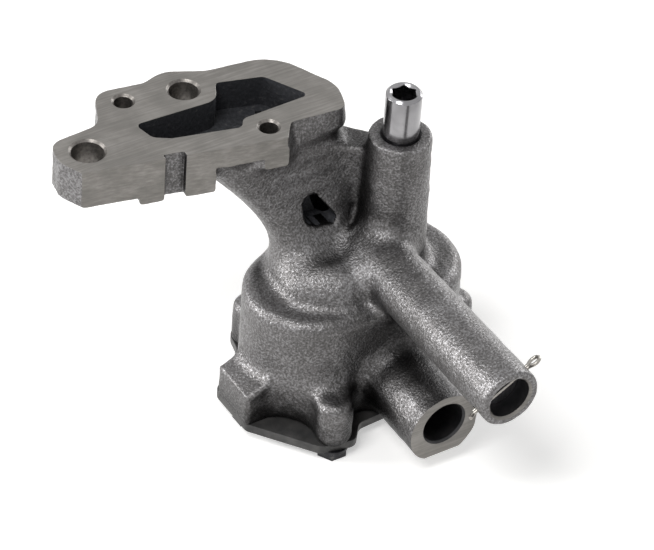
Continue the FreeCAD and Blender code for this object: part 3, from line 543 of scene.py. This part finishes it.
# Sockets 6 and 7 and output 2 are the mix node's colours
skin_colour = add_node(tree, "Mix", {"Factor": 1.0, 6: unshaded_colour, 7: painted_shade_colour},
                       data_type="RGBA", blend_type="MULTIPLY").outputs[2]
skin_gloss = add_node(tree, "MapRange", {**NOISE, "Value": peening, "To Min": 0.46, "To Max": 0.3})
low_bump = add_node(tree, "Bump", {"Height": peening, "Strength": 1.0, "Distance": 0.3 * MM})
fine_bump = add_node(tree, "Bump", {
    "Height": dimples, "Strength": 0.7, "Distance": 0.09 * MM, "Normal": low_bump})
shader = add_node(tree, "BsdfPrincipled", {
    "Base Color": skin_colour, "Roughness": skin_gloss, "Normal": fine_bump, "Metallic": 0.8})
add_node(tree, "OutputMaterial", {"Surface": shader})
pump_casting.data.materials.append(skin_iron)

# Milled iron: a lighter flat grey, with faint flakes of graphite and fine feed marks along the
# cut. Real ones are about 0.3 mm apart; they are drawn 0.9 mm apart, or they wouldn't show. The
# tool leaves each edge a hair rounded, which catches the light.
milled_iron, tree, place = new_finish("milled_cast_iron")
drawn_out = add_node(tree, "Mapping", {
    "Vector": place, "Rotation": (0.0, 0.0, -math.atan2(along_front.y, along_front.x)),
    "Scale": (0.05, 1.0, 1.0)})
feed_marks = add_node(tree, "TexNoise", {
    "Vector": drawn_out, "Scale": per_metre(0.9), "Detail": 3.0, "Roughness": 0.65})
cloud = add_node(tree, "TexNoise", {"Vector": place, "Scale": per_metre(9), "Detail": 5.0})
both = add_node(tree, "Math", {0: feed_marks, 1: cloud}, operation="ADD")
mean = add_node(tree, "Math", {0: both, 1: 0.5}, operation="MULTIPLY")
milled_colour = add_node(tree, "ValToRGB", {"Fac": mean}, stops=[
    (0.35, "#716f6b"), (0.5, "#7d7a76"), (0.65, "#8e8b87")])
milled_gloss = add_node(tree, "MapRange", {**NOISE, "Value": feed_marks, "To Min": 0.5, "To Max": 0.38})
soft_edge = add_node(tree, "Bevel", {"Radius": 0.4 * MM}, samples=4)
mark_bump = add_node(tree, "Bump", {
    "Height": feed_marks, "Strength": 0.35, "Distance": 0.03 * MM, "Normal": soft_edge})
shader = add_node(tree, "BsdfPrincipled", {
    "Base Color": milled_colour, "Roughness": milled_gloss, "Normal": mark_bump, "Metallic": 0.7})
add_node(tree, "OutputMaterial", {"Surface": shader})

# Bored iron: the same metal, cut by a turning tool, so it is smoother and a little darker. Its
# torn grains of about 0.2 mm are drawn 1.2 mm apart, so that they show.
bored_iron, tree, place = new_finish("bored_cast_iron")
bore_grain = add_node(tree, "TexNoise", {"Vector": place, "Scale": per_metre(1.2), "Detail": 4.0})
bored_colour = add_node(tree, "ValToRGB", {"Fac": bore_grain}, stops=[(0.35, "#5c5956"), (0.65, "#7b7773")])
bored_gloss = add_node(tree, "MapRange", {**NOISE, "Value": bore_grain, "To Min": 0.42, "To Max": 0.3})
bore_bump = add_node(tree, "Bump", {"Height": bore_grain, "Strength": 0.4, "Distance": 0.06 * MM})
shader = add_node(tree, "BsdfPrincipled", {
    "Base Color": bored_colour, "Roughness": bored_gloss, "Normal": bore_bump, "Metallic": 0.8})
add_node(tree, "OutputMaterial", {"Surface": shader})

# Deep bores: bored iron coloured near black in blotches a few millimetres wide, as painted shade
# for the dark inside of the deep bores
bore_painted_shade, tree, place = new_finish("bored_iron_painted_shade")
bore_blotches = add_node(tree, "TexNoise", {"Vector": place, "Scale": per_metre(4), "Detail": 4.0})
painted_bore_shade_colour = add_node(tree, "ValToRGB", {"Fac": bore_blotches}, stops=[(0.35, "#262628"), (0.65, "#3b3a3b")])
bore_blotch_gloss = add_node(tree, "MapRange", {**NOISE, "Value": bore_blotches, "To Min": 0.42, "To Max": 0.28})
bore_blotch_bump = add_node(tree, "Bump", {"Height": bore_blotches, "Strength": 0.3, "Distance": 0.08 * MM})
shader = add_node(tree, "BsdfPrincipled", {
    "Base Color": painted_bore_shade_colour, "Roughness": bore_blotch_gloss, "Normal": bore_blotch_bump, "Metallic": 0.5})
add_node(tree, "OutputMaterial", {"Surface": shader})

# Cored iron: the passage was formed by a sand core that the shot never reached, so it keeps a rough
# dark skin; its near-black tone is also painted shade for the deep passage and the neck window.
# The core's sand is about 0.4 mm; it is drawn 1.4 mm apart, so it shows.
cored_iron, tree, place = new_finish("cored_cast_iron")
sand = add_node(tree, "TexNoise", {"Vector": place, "Scale": per_metre(1.4), "Detail": 5.0})
core_skin_and_painted_shade = add_node(tree, "ValToRGB", {"Fac": sand}, stops=[
    (0.35, "#232427"), (0.6, "#35363a"), (0.72, "#4f4e4e")])
cored_gloss = add_node(tree, "MapRange", {**NOISE, "Value": sand, "To Min": 0.75, "To Max": 0.5})
sand_bump = add_node(tree, "Bump", {"Height": sand, "Strength": 0.9, "Distance": 0.3 * MM})
shader = add_node(tree, "BsdfPrincipled", {
    "Base Color": core_skin_and_painted_shade, "Roughness": cored_gloss, "Normal": sand_bump, "Metallic": 0.2})
add_node(tree, "OutputMaterial", {"Surface": shader})


# The casting is then machined: the mounting face, the front side of the flange and the joint
# face are milled, the bores are bored and reamed, and the bolt holes drilled and chamfered.
# Each tool's path is a solid that is taken out of the casting and leaves its finish behind.
tool_paths = []


def tool_path(name, shape, finish):
    """Set up a tool's path from its (points, faces)."""
    item = mesh_object(name, *shape)
    item.data.materials.append(finish)
    tool_paths.append(item)


def turned(profile, base, way, segments=64):
    """Points and faces of a round solid, from (distance along its axis, radius) pairs."""
    way = Vector(way).normalized()
    side = way.orthogonal().normalized()
    other = way.cross(side)
    points = []
    for along, radius in profile:
        for index in range(segments):
            turn = 2 * math.pi * index / segments
            points.append(Vector(base) + way * along
                          + side * (radius * math.cos(turn)) + other * (radius * math.sin(turn)))
    faces = [list(range(segments))[::-1]]
    for ring in range(len(profile) - 1):
        for index in range(segments):
            after = (index + 1) % segments
            faces.append([ring * segments + index, ring * segments + after,
                          (ring + 1) * segments + after, (ring + 1) * segments + index])
    faces.append([(len(profile) - 1) * segments + index for index in range(segments)])
    return points, faces


def drawn(outline, low, high):
    """Points and faces of a flat outline drawn up from one level to another."""
    count = len(outline)
    area = sum(outline[i - 1][0] * outline[i][1] - outline[i][0] * outline[i - 1][1] for i in range(count))
    if area < 0:
        outline = outline[::-1]
    points = [(x, y, low) for x, y in outline] + [(x, y, high) for x, y in outline]
    faces = [list(range(count))[::-1], list(range(count, 2 * count))]
    for index in range(count):
        after = (index + 1) % count
        faces.append([index, after, count + after, count + index])
    return points, faces


def block(low, high):
    """Points and faces of a square block between two corners."""
    return drawn([(low[0], low[1]), (high[0], low[1]), (high[0], high[1]), (low[0], high[1])],
                 low[2], high[2])


# Milling cutters
tool_path("mounting_face", block((-125, 0, 0), (0, 64, 8)), milled_iron)
pass_start = Vector(FRONT_LEFT) - along_front * 12
pass_end = Vector(FRONT_RIGHT) + along_front * 6
CUTTER = out_front * 8
front_pass = [tuple(corner) for corner in (pass_start, pass_end, pass_end + CUTTER, pass_start + CUTTER)]
tool_path("flange_front", drawn(front_pass, -24.0, 10.0), milled_iron)
tool_path("joint_face", block((-80, -70, -116), (50, 50, JOINT_FACE)), milled_iron)
tool_path("inlet_face", block((-30, -65, -115), (10, INLET_FACE, -79)), milled_iron)

# Boring tools and round cores: profile of (distance, radius), where it starts, and its way in.
# The core in the neck is an upright run, a round bend and a slanted run up to the flange.
UP = (0, 0, 1)
TO_FRONT = (0, -1, 0)
# The upright tools start from under the joint face
UNDER = -108
# Radius of each cut
SPOT_FACE = 9.6
RELIEF_BORE = 7.8
RELIEF_MOUTH = 8.7
RELIEF_FEED = 3.0
INLET_PASSAGE = 6.5
INLET_BORE = 8.0
INLET_MOUTH = 8.7
SHAFT_BORE = 6.37
SHAFT_MOUTH = 7.3
IDLER_BORE = 6.35
GEAR_CHAMBER = 19.3
UPRIGHT_CORE = 6
SLANTED_CORE = 7
# Level of the core's bend, a ball that joins its two runs
CORE_BEND = -42
ball = [(-SLANTED_CORE * math.cos(math.pi * k / 12), SLANTED_CORE * math.sin(math.pi * k / 12))
        for k in range(1, 12)]
inlet_profile = [(0, INLET_PASSAGE), (25, INLET_PASSAGE), (25.01, INLET_BORE), (44.2, INLET_BORE),
                 (45, INLET_MOUTH), (48, INLET_MOUTH)]
shaft_profile = [(UNDER, SHAFT_BORE), (TOWER_TOP - 0.9, SHAFT_BORE), (TOWER_TOP, SHAFT_MOUTH),
                 (TOWER_TOP + 3, SHAFT_MOUTH)]
chamber_profile = [(UNDER, GEAR_CHAMBER), (-67.7, GEAR_CHAMBER)]
BORES = [
    ("spot_face", [(0, SPOT_FACE), (16, SPOT_FACE)], (*SECOND_BOLT, -31.2), UP, milled_iron),
    ("relief_bore", [(0, RELIEF_BORE), (80, RELIEF_BORE)],
     (TUBE_AXIS[0], -13.0, TUBE_AXIS[1]), TO_FRONT, bore_painted_shade),
    ("relief_mouth", [(0, RELIEF_BORE), (1.0, RELIEF_MOUTH), (4.0, RELIEF_MOUTH)],
     (TUBE_AXIS[0], TUBE_END + 1.0, TUBE_AXIS[1]), TO_FRONT, milled_iron),
    ("relief_feed", [(0, RELIEF_FEED), (32, RELIEF_FEED)],
     (-14.5, 18.0, TUBE_AXIS[1]), TO_FRONT, bored_iron),
    ("inlet_bore", inlet_profile, (INLET_AXIS[0], -11.0, INLET_AXIS[1]), TO_FRONT, bore_painted_shade),
    ("shaft_bore", shaft_profile, (*DRIVE_AXIS, 0), UP, bore_painted_shade),
    ("idler_bore", [(UNDER, IDLER_BORE), (-57.7, IDLER_BORE)], (*IDLER_AXIS, 0), UP, bored_iron),
    ("gear_chamber", chamber_profile, (*DRIVE_AXIS, 0), UP, bored_iron),
    ("gear_chamber", chamber_profile, (*IDLER_AXIS, 0), UP, bored_iron),
    ("upright_core", [(-96, UPRIGHT_CORE), (CORE_BEND, UPRIGHT_CORE)],
     (*OUTLET_CORE, 0), UP, cored_iron),
    ("core_bend", ball, (*OUTLET_CORE, CORE_BEND), UP, cored_iron),
    ("slanted_core", [(0, SLANTED_CORE), (40.5, SLANTED_CORE)],
     (*OUTLET_CORE, CORE_BEND), (-22.5, 14.5, 30), cored_iron),
]
for name, profile, start, way, finish in BORES:
    tool_path(name, turned(profile, start, way), finish)

# The cores' openings: the passage's in the mounting face, and the window in the neck
OPENING = [(-83.4, 37.2, 1.8), (-81.6, 28.6, 4), (-76, 25.2, 4), (-51, 19.3, 2.5), (-50.2, 23.4, 3.5),
           (-22.2, 24.4, 1.6), (-31, 40.3, 4), (-47.6, 44.8, 2), (-52, 36.3, 6)]
opening_outline = [tuple(point) for point in rounded_outline(OPENING)]
tool_path("outlet_opening", drawn(opening_outline, -12.0, 3.0), cored_iron)
window_points, window_faces = drawn([tuple(point) for point in window_outline],
                                    WINDOW_FRONT + 1.0, WINDOW_BACK + 1.5)
window_points = [(x, y, z) for x, z, y in window_points]
tool_path("window_core", (window_points, [face[::-1] for face in window_faces]), cored_iron)

# Drills: (place, radius, how deep) in the flange, each with a chamfer, then under the cover, and
# across the tube for the cotter pin
CHAMFER = 0.8
ABOVE = 3
TAPPING_DRILL = 3.1
TAPPED_TO = -95.2
BOLT_HOLES = [((-104.4, 32.3), 5.7, -34.0), (SECOND_BOLT, 5.2, -34.0), ((-80.5, 50.5), 3.3, -34.0),
              ((-43.6, 15.7), 3.3, -11.5)]
for place, radius, bottom in BOLT_HOLES:
    profile = [(bottom, radius), (-CHAMFER, radius), (0, radius + CHAMFER), (ABOVE, radius + CHAMFER)]
    tool_path("bolt_hole", turned(profile, (*place, 0), UP), bored_iron)
for place in SCREWS:
    profile = [(UNDER, TAPPING_DRILL), (TAPPED_TO, TAPPING_DRILL)]
    tool_path("tapped_hole", turned(profile, (*place, 0), UP), bored_iron)
COTTER_TILT = math.radians(30)
COTTER_HOLE = 1.68
COTTER_HOLE_REACH = 13.7
cotter_way = Vector((math.cos(COTTER_TILT), 0, math.sin(COTTER_TILT)))
cotter_middle = Vector((TUBE_AXIS[0], -84.0, TUBE_AXIS[1]))
cotter_drill = [(-COTTER_HOLE_REACH, COTTER_HOLE), (COTTER_HOLE_REACH, COTTER_HOLE)]
tool_path("cotter_hole", turned(cotter_drill, cotter_middle, cotter_way, segments=24), bored_iron)

for item in tool_paths:
    cut = pump_casting.modifiers.new(item.name, "BOOLEAN")
    cut.operation = "DIFFERENCE"
    cut.solver = "MANIFOLD"
    cut.material_mode = "TRANSFER"
    cut.object = item
machined = bpy.data.meshes.new_from_object(
    pump_casting.evaluated_get(bpy.context.evaluated_depsgraph_get()))
pump_casting.modifiers.clear()
pump_casting.data = machined
for item in tool_paths:
    bpy.data.objects.remove(item)
machined.shade_smooth()
machined.set_sharp_from_angle(angle=math.radians(35))
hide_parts("pump_body")
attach(pump_casting, "housing")


def dress(node, finish):
    """Give a carried-over CAD node its finish."""
    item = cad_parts[node]
    item.data.materials.clear()
    item.data.materials.append(finish)


# Cover: a thin iron plate, sawn and ground flat, then dipped in black rust oil. It shows as a
# dark matt band under the housing. Its grinding grain is drawn 0.9 mm apart, so that it shows.
oiled_iron, tree, place = new_finish("oiled_black_iron")
oil = add_node(tree, "TexNoise", {"Vector": place, "Scale": per_metre(6), "Detail": 5.0})
grain = add_node(tree, "TexNoise", {"Vector": place, "Scale": per_metre(0.9), "Detail": 3.0})
oiled_colour = add_node(tree, "ValToRGB", {"Fac": oil}, stops=[(0.35, "#353535"), (0.65, "#504f4e")])
oiled_gloss = add_node(tree, "MapRange", {**NOISE, "Value": oil, "To Min": 0.5, "To Max": 0.38})
plate_edge = add_node(tree, "Bevel", {"Radius": 0.6 * MM}, samples=4)
grain_bump = add_node(tree, "Bump", {
    "Height": grain, "Strength": 0.6, "Distance": 0.12 * MM, "Normal": plate_edge})
shader = add_node(tree, "BsdfPrincipled", {
    "Base Color": oiled_colour, "Roughness": oiled_gloss, "Normal": grain_bump, "Metallic": 0.4})
add_node(tree, "OutputMaterial", {"Surface": shader})
dress("pump_cover", oiled_iron)

# Cover screws: cold headed steel with a black oxide skin, nearly black and a little glossy. Here
# and there it is scuffed through to grey, in marks 2 to 3 mm long.
black_oxide, tree, place = new_finish("black_oxide_steel")
scuff = add_node(tree, "TexNoise", {"Vector": place, "Scale": per_metre(2.5), "Detail": 5.0})
oxide_colour = add_node(tree, "ValToRGB", {"Fac": scuff}, stops=[
    (0.4, "#1f1f22"), (0.62, "#2f2f32"), (0.75, "#5a5957")])
oxide_gloss = add_node(tree, "MapRange", {**NOISE, "Value": scuff, "To Min": 0.42, "To Max": 0.3})
head_edge = add_node(tree, "Bevel", {"Radius": 0.5 * MM}, samples=4)
scuff_bump = add_node(tree, "Bump", {
    "Height": scuff, "Strength": 0.3, "Distance": 0.1 * MM, "Normal": head_edge})
shader = add_node(tree, "BsdfPrincipled", {
    "Base Color": oxide_colour, "Roughness": oxide_gloss, "Normal": scuff_bump, "Metallic": 0.6})
add_node(tree, "OutputMaterial", {"Surface": shader})
for number in range(1, len(SCREWS) + 1):
    dress(f"cover_screw_{number}", black_oxide)

# Drive shaft and idler shaft: steel bar, hardened and centreless ground, so it mirrors its
# surroundings in streaks. The grinding runs round it in rings under 0.1 mm apart, which are
# drawn 0.8 mm apart, so that they show.
ground_steel, tree, place = new_finish("ground_steel")
ring_run = add_node(tree, "Mapping", {"Vector": place, "Scale": (0.05, 0.05, 1.0)})
rings = add_node(tree, "TexNoise", {"Vector": ring_run, "Scale": per_metre(0.8), "Detail": 2.0})
tint = add_node(tree, "TexNoise", {"Vector": place, "Scale": per_metre(12), "Detail": 3.0})
ground_colour = add_node(tree, "ValToRGB", {"Fac": tint}, stops=[(0.35, "#838284"), (0.65, "#9c9b9d")])
ground_gloss = add_node(tree, "MapRange", {**NOISE, "Value": rings, "To Min": 0.24, "To Max": 0.14})
ground_edge = add_node(tree, "Bevel", {"Radius": 0.4 * MM}, samples=4)
ring_bump = add_node(tree, "Bump", {
    "Height": rings, "Strength": 0.25, "Distance": 0.04 * MM, "Normal": ground_edge})
shader = add_node(tree, "BsdfPrincipled", {
    "Base Color": ground_colour, "Roughness": ground_gloss, "Normal": ring_bump, "Metallic": 1.0})
add_node(tree, "OutputMaterial", {"Surface": shader})
dress("drive_shaft", ground_steel)
dress("idler_shaft", ground_steel)

# Gears: hobbed steel with an oiled satin sheen, scalloped along each tooth by the hob's feed,
# about 0.7 mm a pass. They turn out of sight behind the cover.
hobbed_steel, tree, place = new_finish("hobbed_gear_steel")
tooth_run = add_node(tree, "Mapping", {"Vector": place, "Scale": (1.0, 1.0, 0.06)})
scallops = add_node(tree, "TexNoise", {"Vector": tooth_run, "Scale": per_metre(0.7), "Detail": 2.0})
gear_colour = add_node(tree, "ValToRGB", {"Fac": scallops}, stops=[(0.35, "#77777a"), (0.65, "#929296")])
gear_gloss = add_node(tree, "MapRange", {**NOISE, "Value": scallops, "To Min": 0.4, "To Max": 0.28})
gear_bump = add_node(tree, "Bump", {"Height": scallops, "Strength": 0.3, "Distance": 0.05 * MM})
shader = add_node(tree, "BsdfPrincipled", {
    "Base Color": gear_colour, "Roughness": gear_gloss, "Normal": gear_bump, "Metallic": 1.0})
add_node(tree, "OutputMaterial", {"Surface": shader})
dress("drive_gear", hobbed_steel)
dress("idler_gear", hobbed_steel)

# Relief piston and spring seat: turned steel cups that slide into the tube. The piston is ground
# to a close fit like the shafts, and the seat keeps its machined satin sheen like the gears.
dress("relief_piston", ground_steel)
dress("spring_seat", hobbed_steel)

# Relief spring: oil tempered wire, wound cold, which leaves it a dark brownish grey in patches a
# few millimetres long.
spring_wire, tree, place = new_finish("oil_tempered_wire")
temper = add_node(tree, "TexNoise", {"Vector": place, "Scale": per_metre(3), "Detail": 4.0})
wire_colour = add_node(tree, "ValToRGB", {"Fac": temper}, stops=[(0.35, "#3d3b3c"), (0.65, "#5b5654")])
wire_gloss = add_node(tree, "MapRange", {**NOISE, "Value": temper, "To Min": 0.45, "To Max": 0.3})
wire_bump = add_node(tree, "Bump", {"Height": temper, "Strength": 0.3, "Distance": 0.05 * MM})
shader = add_node(tree, "BsdfPrincipled", {
    "Base Color": wire_colour, "Roughness": wire_gloss, "Normal": wire_bump, "Metallic": 0.9})
add_node(tree, "OutputMaterial", {"Surface": shader})


def round_wire(name, path, radius, sides=12):
    """A round wire along a list of points, closed at both ends, with a frame that doesn't twist."""
    path = [Vector(point) for point in path]
    points = []
    side = None
    for index, here in enumerate(path):
        on = (path[min(index + 1, len(path) - 1)] - path[max(index - 1, 0)]).normalized()
        side = on.orthogonal().normalized() if side is None else (side - on * side.dot(on)).normalized()
        other = on.cross(side)
        for step in range(sides):
            turn = 2 * math.pi * step / sides
            points.append(here + side * (radius * math.cos(turn)) + other * (radius * math.sin(turn)))
    faces = [list(range(sides))[::-1]]
    for ring in range(len(path) - 1):
        for step in range(sides):
            after = (step + 1) % sides
            faces.append([ring * sides + step, ring * sides + after,
                          (ring + 1) * sides + after, (ring + 1) * sides + step])
    faces.append([(len(path) - 1) * sides + step for step in range(sides)])
    item = mesh_object(name, points, faces)
    item.data.shade_smooth()
    item.data.set_sharp_from_angle(angle=math.radians(50))
    return item


SPRING_RADIUS = 3.9
SPRING_WIRE = 0.8
SPRING_TURNS = 9
PER_TURN = 24
PISTON_SIDE = 16.3
SEAT_SIDE = 80.07
# The end turns lie flat against the piston and the seat, and rise by little more than the wire
END_TURN = 0.8
END_RISE = 1.68
first_turn = PISTON_SIDE + SPRING_WIRE
last_turn = SEAT_SIDE - SPRING_WIRE
coil = []
for step in range(SPRING_TURNS * PER_TURN + 1):
    turns = step / PER_TURN
    along = np.interp(turns, [0, END_TURN, SPRING_TURNS - END_TURN, SPRING_TURNS],
                      [first_turn, first_turn + END_RISE, last_turn - END_RISE, last_turn])
    coil.append((TUBE_AXIS[0] + SPRING_RADIUS * math.cos(2 * math.pi * turns), -along,
                 TUBE_AXIS[1] + SPRING_RADIUS * math.sin(2 * math.pi * turns)))
relief_coil = round_wire("relief_coil", coil, SPRING_WIRE)
relief_coil.data.materials.append(spring_wire)
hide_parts("relief_spring")
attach(relief_coil, "housing")
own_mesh(relief_coil)

# Cotter pin: mild steel wire folded into an eye, pushed through the tube behind the spring seat,
# with one leg bent over. Left bare, it shows a dull bright grey with drawing marks. Those are
# finer than 0.1 mm, and drawn 1.5 mm apart, so that they show.
bare_wire, tree, place = new_finish("bare_steel_wire")
draw_marks = add_node(tree, "TexNoise", {"Vector": place, "Scale": per_metre(1.5), "Detail": 4.0})
bare_colour = add_node(tree, "ValToRGB", {"Fac": draw_marks}, stops=[(0.35, "#8b8782"), (0.65, "#a9a6a0")])
bare_gloss = add_node(tree, "MapRange", {**NOISE, "Value": draw_marks, "To Min": 0.42, "To Max": 0.28})
draw_bump = add_node(tree, "Bump", {"Height": draw_marks, "Strength": 0.3, "Distance": 0.05 * MM})
shader = add_node(tree, "BsdfPrincipled", {
    "Base Color": bare_colour, "Roughness": bare_gloss, "Normal": draw_bump, "Metallic": 0.95})
add_node(tree, "OutputMaterial", {"Surface": shader})

COTTER_WIRE = 0.68
LEG = 0.72
EYE_RADIUS = 2.1
EYE_REACH = 14.4
EYE_STEPS = 32
FOLD = 2.0
FOLD_STEPS = 6
TAIL = 12.1
# The wire's path in the pin's own plane: (distance along the pin, offset). One straight leg, a
# fold that opens into the eye, the eye, the fold back, and a leg whose end is bent over.
joint = EYE_REACH - math.sqrt((EYE_RADIUS + FOLD) ** 2 - (LEG + FOLD) ** 2)
lean = math.atan2(LEG + FOLD, EYE_REACH - joint)
cotter_flat = [(-TAIL, LEG)]
for step in range(FOLD_STEPS + 1):
    turn = -math.pi / 2 + (math.pi / 2 - lean) * step / FOLD_STEPS
    cotter_flat.append((joint + FOLD * math.cos(turn), LEG + FOLD + FOLD * math.sin(turn)))
for step in range(1, EYE_STEPS):
    turn = (math.pi - lean) * (1 - 2 * step / EYE_STEPS)
    cotter_flat.append((EYE_REACH + EYE_RADIUS * math.cos(turn), EYE_RADIUS * math.sin(turn)))
for step in range(FOLD_STEPS + 1):
    turn = lean + (math.pi / 2 - lean) * step / FOLD_STEPS
    cotter_flat.append((joint + FOLD * math.cos(turn), -LEG - FOLD + FOLD * math.sin(turn)))
BEND_RADIUS = 2.6
BEND_ANGLE = math.radians(65)
BEND_STEPS = 8
BEND_START = -11.9
for step in range(BEND_STEPS + 1):
    turn = BEND_ANGLE * step / BEND_STEPS
    cotter_flat.append((BEND_START - BEND_RADIUS * math.sin(turn),
                        -LEG - BEND_RADIUS + BEND_RADIUS * math.cos(turn)))
# The pin sits turned about its own length in its hole
EYE_TURN = math.radians(-28)
across = Vector((0, math.cos(EYE_TURN), 0)) + cotter_way.cross(Vector((0, 1, 0))) * math.sin(EYE_TURN)
cotter_path = [cotter_middle + cotter_way * x + across * y for x, y in cotter_flat]
cotter = round_wire("cotter", cotter_path, COTTER_WIRE)
cotter.data.materials.append(bare_wire)
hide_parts("cotter_pin")
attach(cotter, "housing")


# Studio: a plain pale table, three soft lamps and an even grey surround. The table and the
# surround show white to the camera and in the metal, and the table keeps the pump's shadow.
def seen_rays(tree):
    """1 for what the camera sees directly, in a reflection or through glass, and 0 for other light."""
    rays = add_node(tree, "LightPath").outputs
    mirrored = add_node(tree, "Math", {
        0: rays["Is Glossy Ray"], 1: rays["Is Transmission Ray"]}, operation="ADD")
    return add_node(tree, "Math", {0: rays["Is Camera Ray"], 1: mirrored}, operation="ADD", use_clamp=True)


table_top, tree, place = new_finish("pale_table")
table_shader = add_node(tree, "BsdfPrincipled", {"Base Color": linear("#f2f1ef"), "Roughness": 0.7})
unlit = add_node(tree, "Emission", {"Strength": 0.0})
lift = add_node(tree, "Emission", {"Color": linear("#ffffff"), "Strength": 0.45})
lifted = add_node(tree, "MixShader", {"Fac": seen_rays(tree), 1: unlit, 2: lift})
table_sum = add_node(tree, "AddShader", {0: table_shader, 1: lifted})
add_node(tree, "OutputMaterial", {"Surface": table_sum})
FLOOR_LEVEL = cad_box[0][2] / MM
FLOOR_HALF = 1500
FLOOR_THICKNESS = 20
table = mesh_object("studio_table", *block((-FLOOR_HALF, -FLOOR_HALF, FLOOR_LEVEL - FLOOR_THICKNESS),
                                           (FLOOR_HALF, FLOOR_HALF, FLOOR_LEVEL)))
table.data.materials.append(table_top)

world = bpy.data.worlds.new("pale_surround")
world.use_nodes = True
tree = world.node_tree
tree.nodes.clear()
grey_light = add_node(tree, "Background", {"Color": linear("#d8d8d8"), "Strength": 0.3})
white_backdrop = add_node(tree, "Background", {"Color": linear("#ffffff"), "Strength": 1.0})
surround = add_node(tree, "MixShader", {"Fac": seen_rays(tree), 1: grey_light, 2: white_backdrop})
add_node(tree, "OutputWorld", {"Surface": surround})
bpy.context.scene.world = world

# Soft lamps: (name, way out from the pump, distance and side in metres, power in watts)
LAMPS = [
    ("overhead_lamp", (-0.5, -0.2, 0.9), 1.6, 0.6, 13),
    ("left_lamp", (-0.85, 0.55, 0.32), 1.2, 0.4, 10),
    ("right_lamp", (1.0, 0.35, 0.3), 1.3, 0.6, 6),
]
OBJECT_MIDDLE = Vector((-0.04, -0.02, -0.05))
for name, way, distance, size, power in LAMPS:
    lamp = bpy.data.lights.new(name, "AREA")
    lamp.shape = "SQUARE"
    lamp.size = size
    lamp.energy = power
    item = bpy.data.objects.new(name, lamp)
    item.location = OBJECT_MIDDLE + Vector(way).normalized() * distance
    item.rotation_euler = (OBJECT_MIDDLE - item.location).to_track_quat("-Z", "Y").to_euler()
    bpy.context.scene.collection.objects.link(item)

# Camera: where the photograph was taken from, with its long lens
CAMERA_PLACE = (-0.6084, -0.8443, 0.8086)
RIGHT_WAY = (0.8493, -0.5245, 0.0596)
UP_WAY = (0.3019, 0.5751, 0.7604)
BACK_WAY = (-0.4331, -0.6278, 0.6468)
camera = bpy.data.cameras.new("camera")
camera.sensor_fit = "HORIZONTAL"
camera.sensor_width = 36.0
camera.lens = 212.86
camera.clip_start = 0.01
view = bpy.data.objects.new("camera", camera)
view.matrix_world = Matrix([
    [RIGHT_WAY[axis], UP_WAY[axis], BACK_WAY[axis], CAMERA_PLACE[axis]] for axis in range(3)
] + [[0, 0, 0, 1]])
bpy.context.scene.collection.objects.link(view)
bpy.context.scene.camera = view
bpy.context.scene.view_settings.view_transform = "Standard"
